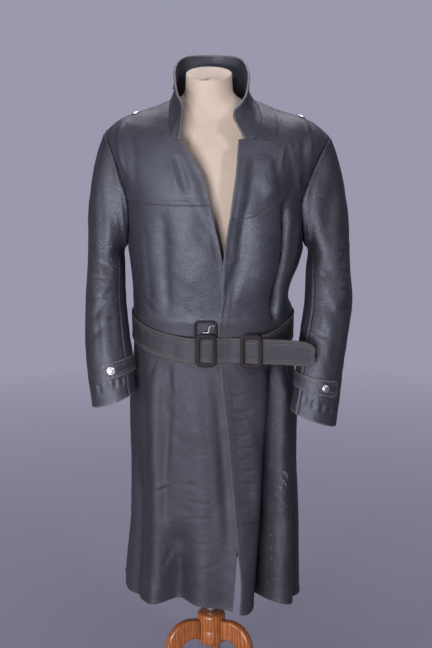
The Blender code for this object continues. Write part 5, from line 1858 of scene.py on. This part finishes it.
def leather(name, dark, light, worn, scuff_and_sheen_colour, rough, wrinkle, gloss_level):
    """Old leather: mottled colour, fine grain and creases, worn edges and ridges, and scuffed patches that
    are partly painted highlights.
    """
    material, tree, shader, place = new_material(name)
    broad = add_noise(tree, place, 7.0, 4.0)
    mottle = add_noise(tree, place, 46.0, 5.0, 0.65)
    speck = add_noise(tree, place, 330.0, 3.0, 0.6)
    colour = add_mix(tree, add_range(tree, broad, 0.32, 0.68), dark, light)
    colour = add_mix(tree, add_range(tree, mottle, 0.45, 0.75, 0.0, 0.35), colour, light)
    ridge_share = add_range(tree, mottle, 0.35, 0.65, 0.1, 0.5)
    ridge = add_math(tree, "MULTIPLY", point_value(tree, "ridge"), ridge_share)
    colour = add_mix(tree, ridge, colour, light)
    wear_share = add_range(tree, speck, 0.35, 0.6, 0.15, 0.9)
    wear = add_math(tree, "MULTIPLY", point_value(tree, "wear"), wear_share)
    colour = add_mix(tree, wear, colour, worn)
    # Pale speckled patches: scuffed finish, and painted highlights where the light's gloss falls
    patch = add_math(
        tree, "MULTIPLY", add_range(tree, speck, 0.55, 0.68), add_range(tree, mottle, 0.46, 0.62),
    )
    rub_and_sheen = add_math(tree, "MULTIPLY", point_value(tree, "rub_and_sheen"), patch)
    colour = add_mix(tree, rub_and_sheen, colour, scuff_and_sheen_colour)
    tree.links.new(colour, shader.inputs["Base Color"])
    pebble = add_noise(tree, place, 210.0, 4.0, 0.7)
    gloss = add_math(tree, "MULTIPLY", add_math(tree, "ADD", mottle, pebble), 0.5)
    rough_noise = add_range(tree, gloss, 0.36, 0.64, rough[0], rough[1])
    worn_rough = add_math(tree, "ADD", rough_noise, add_math(tree, "MULTIPLY", wear, 0.15))
    tree.links.new(worn_rough, shader.inputs["Roughness"])
    creases = add_noise(tree, stretched(tree, place, (1.0, 1.0, 1.6)), 60.0, 7.0, 0.6)
    normal = add_bump(tree, creases, wrinkle, 0.0020)
    normal = add_bump(tree, pebble, 0.50, 0.0018, normal)
    normal = add_bump(tree, add_cells(tree, place, 520.0), 0.40, 0.0005, normal)
    tree.links.new(normal, shader.inputs["Normal"])
    shader.inputs["Specular IOR Level"].default_value = gloss_level
    shader.inputs["Specular Tint"].default_value = (0.84, 0.87, 1.0, 1.0)
    return material


def plain_leather_back():
    """The rough inner side of the leather."""
    material, tree, shader, place = new_material("leather_back")
    nap = add_noise(tree, place, 240.0, 5.0, 0.7)
    colour = add_mix(tree, add_range(tree, nap, 0.35, 0.65), (0.030, 0.029, 0.027), (0.060, 0.056, 0.050))
    tree.links.new(colour, shader.inputs["Base Color"])
    tree.links.new(add_bump(tree, nap, 0.4, 0.0006), shader.inputs["Normal"])
    shader.inputs["Roughness"].default_value = 0.85
    return material


def silver_metal():
    """Dull silver with fine tarnish in its hollows."""
    material, tree, shader, place = new_material("silver")
    tarnish = add_noise(tree, place, 420.0, 4.0, 0.6)
    colour = add_mix(tree, add_range(tree, tarnish, 0.4, 0.7), (0.80, 0.80, 0.82), (0.45, 0.44, 0.43))
    tree.links.new(colour, shader.inputs["Base Color"])
    tree.links.new(add_range(tree, tarnish, 0.3, 0.7, 0.22, 0.40), shader.inputs["Roughness"])
    tree.links.new(add_bump(tree, add_cells(tree, place, 900.0), 0.5, 0.0005), shader.inputs["Normal"])
    shader.inputs["Metallic"].default_value = 1.0
    return material


def horn():
    """Dark polished horn."""
    material, tree, shader, place = new_material("dark_horn")
    grain = add_noise(tree, stretched(tree, place, (1.0, 1.0, 6.0)), 160.0, 4.0)
    colour = add_mix(tree, add_range(tree, grain, 0.4, 0.65), (0.012, 0.012, 0.014), (0.045, 0.038, 0.034))
    tree.links.new(colour, shader.inputs["Base Color"])
    shader.inputs["Roughness"].default_value = 0.32
    return material


def cream_cover():
    """Cream jersey stretched over the form, a little soiled."""
    material, tree, shader, place = new_material("cream_jersey")
    soil = add_noise(tree, place, 9.0, 5.0, 0.6)
    spots = add_noise(tree, place, 70.0, 4.0, 0.6)
    colour = add_mix(tree, add_range(tree, soil, 0.35, 0.7), (0.62, 0.50, 0.40), (0.52, 0.41, 0.32))
    colour = add_mix(tree, add_range(tree, spots, 0.62, 0.8, 0.0, 0.5), colour, (0.36, 0.26, 0.19))
    stain = add_math(tree, "MULTIPLY", point_value(tree, "stain"), add_range(tree, spots, 0.3, 0.6, 0.5, 1.0))
    colour = add_mix(tree, stain, colour, (0.075, 0.030, 0.020))
    tree.links.new(colour, shader.inputs["Base Color"])
    weave = add_node(tree, "ShaderNodeTexWave", bands_direction="DIAGONAL", inputs={
        "Scale": 420.0, "Distortion": 1.5,
    })
    tree.links.new(place, weave.inputs["Vector"])
    normal = add_bump(tree, weave.outputs["Fac"], 0.25, 0.0003)
    tree.links.new(add_bump(tree, spots, 0.15, 0.001, normal), shader.inputs["Normal"])
    shader.inputs["Roughness"].default_value = 0.78
    shader.inputs["Sheen Weight"].default_value = 0.2
    return material


def varnished_wood():
    """Orange-brown varnished wood with long grain."""
    material, tree, shader, place = new_material("varnished_board")
    along = stretched(tree, place, (5.0, 5.0, 1.0))
    rings = add_node(tree, "ShaderNodeTexWave", inputs={
        "Scale": 9.0, "Distortion": 7.0, "Detail": 4.0, "Detail Scale": 1.6,
    })
    tree.links.new(along, rings.inputs["Vector"])
    fibre = add_noise(tree, stretched(tree, place, (40.0, 40.0, 4.0)), 8.0, 5.0, 0.7)
    ring_share = add_range(tree, rings.outputs["Fac"], 0.1, 0.9)
    colour = add_mix(tree, ring_share, (0.50, 0.17, 0.045), (0.30, 0.085, 0.022))
    colour = add_mix(tree, add_range(tree, fibre, 0.4, 0.7, 0.0, 0.6), colour, (0.20, 0.055, 0.016))
    tree.links.new(colour, shader.inputs["Base Color"])
    tree.links.new(add_range(tree, fibre, 0.3, 0.7, 0.22, 0.40), shader.inputs["Roughness"])
    tree.links.new(add_bump(tree, fibre, 0.12, 0.0008), shader.inputs["Normal"])
    shader.inputs["Coat Weight"].default_value = 0.4
    shader.inputs["Coat Roughness"].default_value = 0.15
    return material


def cotton(name, colour_a, colour_b):
    """Twisted thread, or a pale scuff of bared leather."""
    material, tree, shader, place = new_material(name)
    twist = add_noise(tree, place, 700.0, 3.0)
    colour = add_mix(tree, add_range(tree, twist, 0.35, 0.65), colour_a, colour_b)
    tree.links.new(colour, shader.inputs["Base Color"])
    shader.inputs["Roughness"].default_value = 0.8
    return material


def stage_material():
    """Plain pale studio floor."""
    material, tree, shader, place = new_material("stage_paper")
    soft = add_noise(tree, place, 0.6, 2.0)
    colour = add_mix(tree, add_range(tree, soft, 0.3, 0.7), (0.20, 0.195, 0.25), (0.22, 0.215, 0.27))
    tree.links.new(colour, shader.inputs["Base Color"])
    shader.inputs["Roughness"].default_value = 0.95
    away = add_node(tree, "ShaderNodeVectorMath", operation="LENGTH")
    tree.links.new(place, away.inputs[0])
    tree.links.new(add_range(tree, away.outputs["Value"], *FLOOR_FADE, 1.0, 0.0), shader.inputs["Alpha"])
    return material


BARE_EDGE = (0.16, 0.145, 0.14)
LEATHER = leather(
    "slate_leather", (0.016, 0.0165, 0.023), (0.032, 0.033, 0.043), BARE_EDGE, (0.17, 0.17, 0.195),
    (0.40, 0.54), 0.16, 0.8,
)
# The paler patch colour of the sleeves also paints their highlights
SLEEVE_LEATHER = leather(
    "slate_leather_sleeve", (0.014, 0.014, 0.019), (0.030, 0.030, 0.038), BARE_EDGE, (0.20, 0.20, 0.225),
    (0.40, 0.56), 0.18, 0.8,
)
SKIRT_LEATHER = leather(
    "slate_leather_skirt", (0.016, 0.0162, 0.021), (0.032, 0.0322, 0.040), BARE_EDGE, (0.17, 0.17, 0.19),
    (0.50, 0.64), 0.18, 0.6,
)
BELT_LEATHER = leather(
    "belt_leather", (0.018, 0.016, 0.019), (0.040, 0.036, 0.040), (0.100, 0.080, 0.074), (0.14, 0.13, 0.135),
    (0.52, 0.68), 0.22, 0.5,
)
BUCKLE_LEATHER = leather(
    "buckle_leather", (0.007, 0.006, 0.006), (0.019, 0.015, 0.014), (0.120, 0.078, 0.062),
    (0.09, 0.075, 0.07), (0.52, 0.68), 0.22, 0.28,
)
LEATHER_BACK = plain_leather_back()
SILVER = silver_metal()
HORN = horn()
CREAM = cream_cover()
WOOD = varnished_wood()
COAT_THREAD = cotton("coat_thread", (0.030, 0.028, 0.030), (0.070, 0.064, 0.062))
BELT_THREAD = cotton("belt_thread", (0.20, 0.155, 0.13), (0.32, 0.26, 0.22))
BARED = cotton("bared_leather", (0.16, 0.16, 0.175), (0.34, 0.34, 0.35))


# Pieces

FRONT_YOKES = {
    # name: side, front edge
    "yoke_front_left": (1, "left"),
    "yoke_front_right": (-1, "right"),
}


def add_fronts():
    """Chest fronts, back, skirt and yokes; returns the grids that other pieces and stitches follow."""
    grids = {}
    panels = (
        # name, grid, creases, styles of the edges, side faced
        ("skirt_front_left", skirt_grid(left_edge, fixed(90.0), SPANS["skirt_left"], STEP, left_lift),
         ("body_front", "puckers"), {"left": "fold", "low": "fold", "top": "under", "right": "seam"}, 1.0),
        ("skirt_front_right", skirt_grid(fixed(-90.0), right_edge, SPANS["skirt_right"], STEP, no_lift),
         ("body_front",), {"right": "fold", "low": "fold", "top": "under", "left": "seam"}, 1.0),
        ("skirt_back", skirt_grid(fixed(90.0), fixed(270.0), SPANS["skirt_back"], BACK_STEP, no_lift),
         ("body_back",), {"low": "fold", "top": "under", "left": "seam", "right": "seam"}, -1.0),
        ("chest_front_left", chest_grid(left_chest_columns, STEP, left_lift),
         ("body_front",), {"left": "fold", "low": "lap", "top": "under", "right": "seam"}, 1.0),
        ("chest_front_right", chest_grid(right_chest_columns, STEP, no_lift, 0.0),
         ("body_front",), {"right": "fold", "low": "lap", "top": "under", "left": "seam"}, 1.0),
        ("back_body", chest_grid(back_chest_columns, BACK_STEP, no_lift),
         ("body_back",), {"low": "lap", "top": "under", "left": "seam", "right": "seam"}, -1.0),
        ("yoke_front_left", front_yoke_grid(1),
         ("body_front",), {"left": "fold", "low": "lap", "right": "seam"}, 1.0),
        ("yoke_front_right", front_yoke_grid(-1),
         ("body_front",), {"right": "fold", "low": "lap", "left": "seam"}, 1.0),
        ("yoke_back", back_yoke_grid(),
         ("body_back",), {"low": "lap", "left": "seam", "right": "seam"}, -1.0),
    )
    for name, points, creases, styles, facing in panels:
        lift = relief(points, creases, styles, facing)
        if name in ("skirt_front_left", "chest_front_left", "yoke_front_left"):
            lift = lift + band_relief(points)
        if name in ("chest_front_right", "yoke_front_right"):
            lift = lift + curl_relief(points)
        if name == "yoke_front_right":
            lift = lift + mark_lift(points)
        worn = EDGE_WORN
        if name in FRONT_YOKES:
            side, edge = FRONT_YOKES[name]
            worn = below_collar(side)[:, None] * 1.0
            lift = lift - edge_relief("fold", edge_distances(points)[edge], 0.0) * (1.0 - worn)
        lift = lift * clear_of_belt(body_angle(points), points[:, :, 2])
        grids[name] = moved_out(points, lift)
        look = SKIRT_LEATHER if name.startswith("skirt") else LEATHER
        add_shell(name, grids[name], WALL, styles, look, LEATHER_BACK, worn=worn)
    return grids


def add_sleeves():
    """Top and under sleeves with their cuff straps and buttons."""
    grids = {}
    for side, name in ((1, "left"), (-1, "right")):
        creases = (f"{name}_sleeve_front",)
        runs = edge_shares(SPANS["sleeve_length"], STEP)
        top_width = SLEEVE_FRONT_SEAM - SLEEVE_BACK_SEAM + 360.0
        under_width = SLEEVE_BACK_SEAM - SLEEVE_FRONT_SEAM
        parts = (
            ("top", SLEEVE_BACK_SEAM - 360.0, top_width),
            ("under", SLEEVE_FRONT_SEAM, under_width),
        )
        for part, seam, width in parts:
            turns = seam + width * edge_shares(SPANS[f"sleeve_{part}"], STEP)
            points = facing_out(sleeve_grid(turns, runs, side), side)
            styles = {"low": "seam", "top": "fold", "left": "seam", "right": "seam"}
            piece = f"sleeve_{part}_{name}"
            lift = relief(points, creases, styles, 1.0) + crease_relief(points, ("sleeves_back",), -1.0)
            grids[piece] = moved_out(points, lift)
            add_shell(
                piece, grids[piece], WALL, styles, SLEEVE_LEATHER, LEATHER_BACK,
            )
        piece = f"cuff_strap_{name}"
        points = facing_out(strap_grid(side, name), side)
        styles = {"low": "ribbed", "top": "ribbed", "left": "fold", "right": "fold"}
        lift = relief(points, creases, styles, 1.0)
        grids[piece] = moved_out(points, lift)
        add_shell(
            piece, grids[piece], STRAP_WALL, styles, SLEEVE_LEATHER, LEATHER_BACK,
        )
        add_cuff_button(side, name)
    return grids


def add_cuff_button(side, name):
    """The metal button on a cuff strap."""
    _, _, button, high, low = STRAPS[name]
    turns = button + PATCH_TURN * np.array([-1.0, 0.0, 1.0])
    runs = np.array([high, (high + low) / 2.0, low])
    patch = sleeve_grid(turns, runs, side, 2.0 * LAY_GAP + STRAP_WALL)
    place = pointing(patch[1, 1], grid_normals(patch)[1, 1] * side)
    add_button(f"cuff_button_{name}", BUTTON_PROFILE, BUTTON_SIDES, place, SILVER)


def add_shoulder_buttons():
    """The metal buttons on the shoulders."""
    for name, across, rise in SHOULDER_BUTTONS:
        columns = across + PATCH_ACROSS * np.array([[-1.0, 0.0, 1.0]] * 3)
        rows = rise + PATCH_RISE * np.array([[-1.0], [0.0], [1.0]])
        patch = yoke_point(columns, rows, True)
        direction = grid_normals(patch)[1, 1]
        place = pointing(patch[1, 1] - direction * SHOULDER_BUTTON_SINK, direction)
        add_button(name, BUTTON_PROFILE, BUTTON_SIDES, place, SILVER)


def add_collar(yokes):
    """The stand-up collar with its thick rolled edge and its button."""
    plain = collar_grid(yokes["yoke_front_left"], yokes["yoke_front_right"], yokes["yoke_back"])
    styles = {"top": "fold", "left": "fold", "right": "fold", "low": "soft"}
    lift = relief(plain, ("collar_front",), styles, 1.0)
    points = moved_out(plain, lift)
    away = edge_distances(points)
    to_edge = np.minimum(away["top"], np.minimum(away["left"], away["right"]))
    wall = COLLAR_WALL + COLLAR_ROLL * (1.0 - ease((to_edge - COLLAR_ROLL_FLAT) / COLLAR_ROLL_FADE))
    add_shell("collar", points, wall, styles, LEATHER, LEATHER)
    low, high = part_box("collar_button")
    from_button = np.linalg.norm(points + AXIS - (np.array(low) + np.array(high)) / 2.0, axis=2)
    row, column = np.unravel_index(np.argmin(from_button), from_button.shape)
    direction = grid_normals(points)[row, column]
    place = pointing(points[row, column] + direction * SEAM_GAP, direction)
    add_button("collar_button", COLLAR_BUTTON_PROFILE, COLLAR_BUTTON_SIDES, place, HORN)
    return points, wall


def add_belt():
    """The belt strap and its tongue."""
    grids = {}
    for name, points in (("belt_strap", belt_grid()), ("belt_tongue", tongue_grid())):
        styles = {"low": "ribbed", "top": "ribbed", "left": "fold", "right": "fold"}
        lift = relief(points, (), styles, 1.0) * BELT_RELIEF
        grids[name] = moved_out(points, lift)
        add_shell(
            name, grids[name], BELT_WALL, styles, BELT_LEATHER, BELT_LEATHER,
        )
    return grids


def frame_solid(width, tall, bar_half, thick_half):
    """A leather-covered frame with flattened bars and round corners in the XZ plane, and its wear."""
    around = np.linspace(0.0, 2.0 * math.pi, FRAME_SIDES, endpoint=False)
    vertices = []
    for turn, sign_x, sign_z in ((0.0, 1, 1), (90.0, -1, 1), (180.0, -1, -1), (270.0, 1, -1)):
        centre_x = sign_x * (width / 2.0 - bar_half - FRAME_CORNER)
        centre_z = sign_z * (tall / 2.0 - bar_half - FRAME_CORNER)
        for corner_angle in np.radians(turn + np.linspace(0.0, 90.0, FRAME_CORNER_ROWS)):
            reach = FRAME_CORNER + bar_half * signed_power(np.cos(around), FRAME_FLATNESS)
            x = centre_x + reach * math.cos(corner_angle)
            z = centre_z + reach * math.sin(corner_angle)
            y = thick_half * signed_power(np.sin(around), FRAME_FLATNESS)
            vertices.extend(np.stack([x, y, z], axis=-1))
    size = len(around)
    count = len(vertices) // size
    faces = ring_faces(count, size, count)
    rim = np.tile(bell((np.abs(np.cos(around)) - 1.0) / FRAME_WEAR_WIDTH), count)
    return np.array(vertices), faces, rim


def wire_solid(path, radius):
    """A round wire along a path that lies near the XZ plane."""
    along = np.gradient(path, axis=0)
    along /= np.linalg.norm(along, axis=1, keepdims=True)
    aside = np.cross(along, (0.0, -1.0, 0.0))
    aside /= np.linalg.norm(aside, axis=1, keepdims=True)
    up = np.cross(aside, along)
    angles = np.linspace(2.0 * math.pi, 0.0, WIRE_SIDES, endpoint=False)[None, :, None]
    spokes = np.cos(angles) * aside[:, None] + np.sin(angles) * up[:, None]
    return ring_stack(path[:, None] + radius * spokes)


def add_buckles():
    """The leather-covered buckle frames and the inner buckle's prong."""
    for name, x, y, height, *sizes in BUCKLES:
        vertices, faces, rim = frame_solid(*sizes)
        mesh = vertices + (x, y, height), faces
        item = add_piece(f"{name}_frame", name, mesh, BUCKLE_LEATHER)
        set_attribute(item, "wear", rim)
        set_attribute(item, "ridge", 0.0 * rim)
        set_attribute(item, "rub_and_sheen", FRAME_RUB + 0.0 * rim)
    prong = wire_solid(curve_through(PRONG_PATH, np.linspace(0.0, 1.0, WIRE_ROWS)), PRONG_RADIUS)
    add_piece("under_buckle_prong_wire", "under_buckle_prong", prong, SILVER)


def form_rings():
    """Rings of the dress form, with rounded ends."""
    low, top = FORM_SECTIONS[0][0], FORM_SECTIONS[-1][0]
    angles = np.linspace(0.0, 2.0 * math.pi, FORM_SIDES, endpoint=False)
    turns = np.radians(np.linspace(0.0, 90.0, CAP_ROWS))
    heights = np.concatenate([
        low + CAP_ROUND * (1.0 - np.sin(turns[::-1])),
        np.linspace(low + CAP_ROUND, top - CAP_ROUND, FORM_ROWS)[1:-1],
        top - CAP_ROUND * (1.0 - np.sin(turns)),
    ])
    insets = np.concatenate([
        CAP_ROUND * (1.0 - np.cos(turns[::-1])),
        np.zeros(FORM_ROWS - 2),
        CAP_ROUND * (1.0 - np.cos(turns)),
    ])
    rings = []
    for height, inset in zip(heights, insets):
        half, front, back = [read_table(FORM_SECTIONS, column, height) for column in (1, 2, 3)]
        y = (np.where(np.sin(angles) < 0.0, -front, back) - inset) * np.sin(angles)
        tilt = NECK_SLOPE * ease((height - NECK_SLOPE_FROM) / (top - NECK_SLOPE_FROM))
        x = FORM_AXIS_X + (half - inset) * np.cos(angles)
        rings.append(np.stack([x, y, height + tilt * y], axis=-1))
    return rings


def leg_rings():
    """Sections of a board with rounded edges, cut to a curve and reaching out along X."""
    curve = curve_through(LEG_CURVE[:-1], np.linspace(0.0, 1.0, LEG_ROWS))
    curve = np.concatenate([curve, np.linspace(LEG_CURVE[-2], LEG_CURVE[-1], FOOT_ROWS)[1:]])
    curve[:, 1::2] = np.maximum(curve[:, 1::2], 0.0)
    half = LEG_THICKNESS / 2.0
    turns = np.radians(np.linspace(0.0, 360.0, LEG_SIDES, endpoint=False))
    side = signed_power(np.cos(turns), LEG_ROUND) * half
    share = 0.5 + 0.5 * signed_power(np.sin(turns), LEG_ROUND)
    rings = []
    for upper_x, upper_z, lower_x, lower_z in curve:
        x = lower_x + (upper_x - lower_x) * share
        z = lower_z + (upper_z - lower_z) * share
        rings.append(np.stack([x, side, z], axis=-1))
    return rings


def stain_share(vertices):
    """How much each point of the form's cover is stained."""
    total = np.zeros(len(vertices))
    for x, y, height, half_width, half_height, strength in STAINS:
        near = bell((vertices[:, 0] - x) / half_width) * bell((vertices[:, 2] - height) / half_height)
        total += strength * near * bell((vertices[:, 1] - y) / STAIN_DEPTH)
    return np.clip(total, 0.0, 1.0)


def add_form_and_stand():
    """The dress form with its pole, hub and legs."""
    vertices, faces = ring_stack(form_rings())
    torso = add_piece("form_torso_cover", "form_torso", (vertices, faces), CREAM)
    set_attribute(torso, "stain", stain_share(vertices))
    add_piece("form_pole_turned", "form_pole", turned(POLE_PROFILE, POLE_SIDES), SILVER)
    add_piece("stand_hub_turned", "stand_hub", turned(HUB_PROFILE, HUB_SIDES), WOOD)
    for name, angle in LEG_ANGLES.items():
        vertices, faces = ring_stack(leg_rings())
        vertices = placed(vertices, Matrix.Rotation(math.radians(angle), 4, "Z"))
        add_piece(f"{name}_board", name, (vertices, faces), WOOD)


def band_stitches(points):
    """Stitches along the inner side of the left front's band."""
    width = read_table(BAND_WIDTH, 1, points[:, 0, 2])
    return stitches_along(*stitch_path(points, "left", width))


def inner_collar_stitches(points, wall):
    """Rows of stitches on the inner side of the collar's back."""
    rows = []
    first, last = [int(share * points.shape[1]) for share in COLLAR_ROW_ENDS]
    middle = np.s_[:, first:last]
    inner = points - grid_normals(points) * wall[:, :, None]
    for distance in COLLAR_ROWS:
        path, out = stitch_path(inner[middle], "top", distance)
        rows.append(stitches_along(path, -out))
    return rows


def add_stitching(grids, collar, collar_wall):
    """All the stitches, joined by colour."""
    coat = []
    for edge, distances, names in COAT_STITCHES:
        for name in names:
            points = grids[name]
            if name in FRONT_YOKES and edge == FRONT_YOKES[name][1]:
                points = points[below_collar(FRONT_YOKES[name][0])]
            coat.extend(stitches_along(*stitch_path(points, edge, distance)) for distance in distances)
    for name in ("skirt_front_left", "chest_front_left"):
        coat.append(band_stitches(grids[name]))
    coat.append(band_stitches(grids["yoke_front_left"][below_collar(1)]))
    for edge in ("top", "left", "right"):
        coat.append(stitches_along(*stitch_path(collar, edge, COLLAR_STITCHES)))
    coat.extend(inner_collar_stitches(collar, collar_wall))
    add_threads("coat_stitches", coat, COAT_THREAD)
    belt = []
    for name in RIBBED_PIECES:
        for edge in ("low", "top"):
            for distance in RIBBED_STITCHES:
                belt.append(stitches_along(*stitch_path(grids[name], edge, distance)))
    add_threads("belt_stitches", belt, BELT_THREAD)


def add_scuffs(points):
    """Pale scuffs that lie on the skirt fronts."""
    chance = np.random.default_rng(SCUFF_SEED)
    vertices = []
    faces = []
    flat = np.concatenate([grid.reshape(-1, 3) for grid in points])
    outs = np.concatenate([grid_normals(grid).reshape(-1, 3) for grid in points])
    front = flat[:, 1] <= 0.0
    flat, outs = flat[front], outs[front]
    for x1, z1, x2, z2, width in SCUFFS:
        count = max(int(math.hypot(x2 - x1, z2 - z1) / FLECK_PITCH), 3)
        for share in np.linspace(0.0, 1.0, count):
            wobble = chance.normal(size=2) * width * FLECK_WOBBLE
            x = x1 + (x2 - x1) * share + wobble[0]
            z = z1 + (z2 - z1) * share + wobble[1]
            near = np.argmin((flat[:, 0] - x) ** 2 + (flat[:, 2] - z) ** 2)
            size = width * chance.uniform(*FLECK_SIZES)
            add_fleck(vertices, faces, flat[near], outs[near], (x, z), size, chance)
    item = new_object("scuffs", np.array(vertices), faces)
    return place_on_body(item, BARED)


def add_fleck(vertices, faces, spot, out, place, size, chance):
    """One low ragged fleck on the cloth near a spot."""
    aside = np.cross(out, (0.0, 0.0, 1.0))
    aside /= np.linalg.norm(aside)
    up = np.cross(aside, out)
    x, z = place
    centre = spot + aside * ((x - spot[0]) / max(aside[0], 0.3)) + up * (z - spot[2])
    first = len(vertices)
    vertices.append(centre + out * SCUFF_RISE)
    for turn in np.linspace(0.0, 2.0 * math.pi, FLECK_CORNERS, endpoint=False):
        reach = size * chance.uniform(*FLECK_RAGGED)
        vertices.append(centre + aside * reach * math.cos(turn) + up * reach * math.sin(turn))
    for j in range(FLECK_CORNERS):
        faces.append((first, first + 1 + j, first + 1 + (j + 1) % FLECK_CORNERS))


def add_stage():
    """A plain pale floor, lights, sky and camera."""
    angles = np.linspace(0.0, 2.0 * math.pi, FLOOR_SIDES, endpoint=False)
    rim = np.stack([FLOOR_RADIUS * np.cos(angles), FLOOR_RADIUS * np.sin(angles), 0.0 * angles], axis=-1)
    floor = new_object("floor", rim, [tuple(range(len(rim)))])
    floor.data.materials.append(stage_material())
    for name, place, size, power, colour in LIGHTS:
        data = bpy.data.lights.new(name, "AREA")
        data.shape = "RECTANGLE"
        data.size, data.size_y = size
        data.energy = power
        data.color = colour
        lamp = bpy.data.objects.new(name, data)
        lamp.location = Vector(place)
        lamp.rotation_euler = (Vector(LIGHT_AIM) - lamp.location).to_track_quat("-Z", "Y").to_euler()
        bpy.context.scene.collection.objects.link(lamp)
    world = bpy.data.worlds.new("studio")
    world.use_nodes = True
    sky = world.node_tree.nodes["Background"]
    sky.inputs["Color"].default_value = (*SKY_COLOUR, 1.0)
    seen = add_node(world.node_tree, "ShaderNodeLightPath").outputs["Is Camera Ray"]
    strength = add_range(world.node_tree, seen, 0.0, 1.0, SKY_LIGHT, SKY_STRENGTH)
    world.node_tree.links.new(strength, sky.inputs["Strength"])
    bpy.context.scene.world = world
    data = bpy.data.cameras.new("camera")
    data.lens = CAMERA_LENS
    camera = bpy.data.objects.new("camera", data)
    camera.location = Vector(CAMERA_PLACE) + Vector(AXIS)
    camera.rotation_euler = (math.radians(90.0 - CAMERA_PITCH), 0.0, 0.0)
    bpy.context.scene.collection.objects.link(camera)
    bpy.context.scene.camera = camera
    bpy.context.scene.view_settings.view_transform = "Standard"


def main():
    """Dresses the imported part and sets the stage."""
    add_stage()
    grids = add_fronts()
    collar, collar_wall = add_collar(grids)
    grids.update(add_sleeves())
    grids.update(add_belt())
    add_buckles()
    add_shoulder_buttons()
    add_form_and_stand()
    add_stitching(grids, collar, collar_wall)
    add_scuffs((grids["skirt_front_left"], grids["skirt_front_right"]))


main()
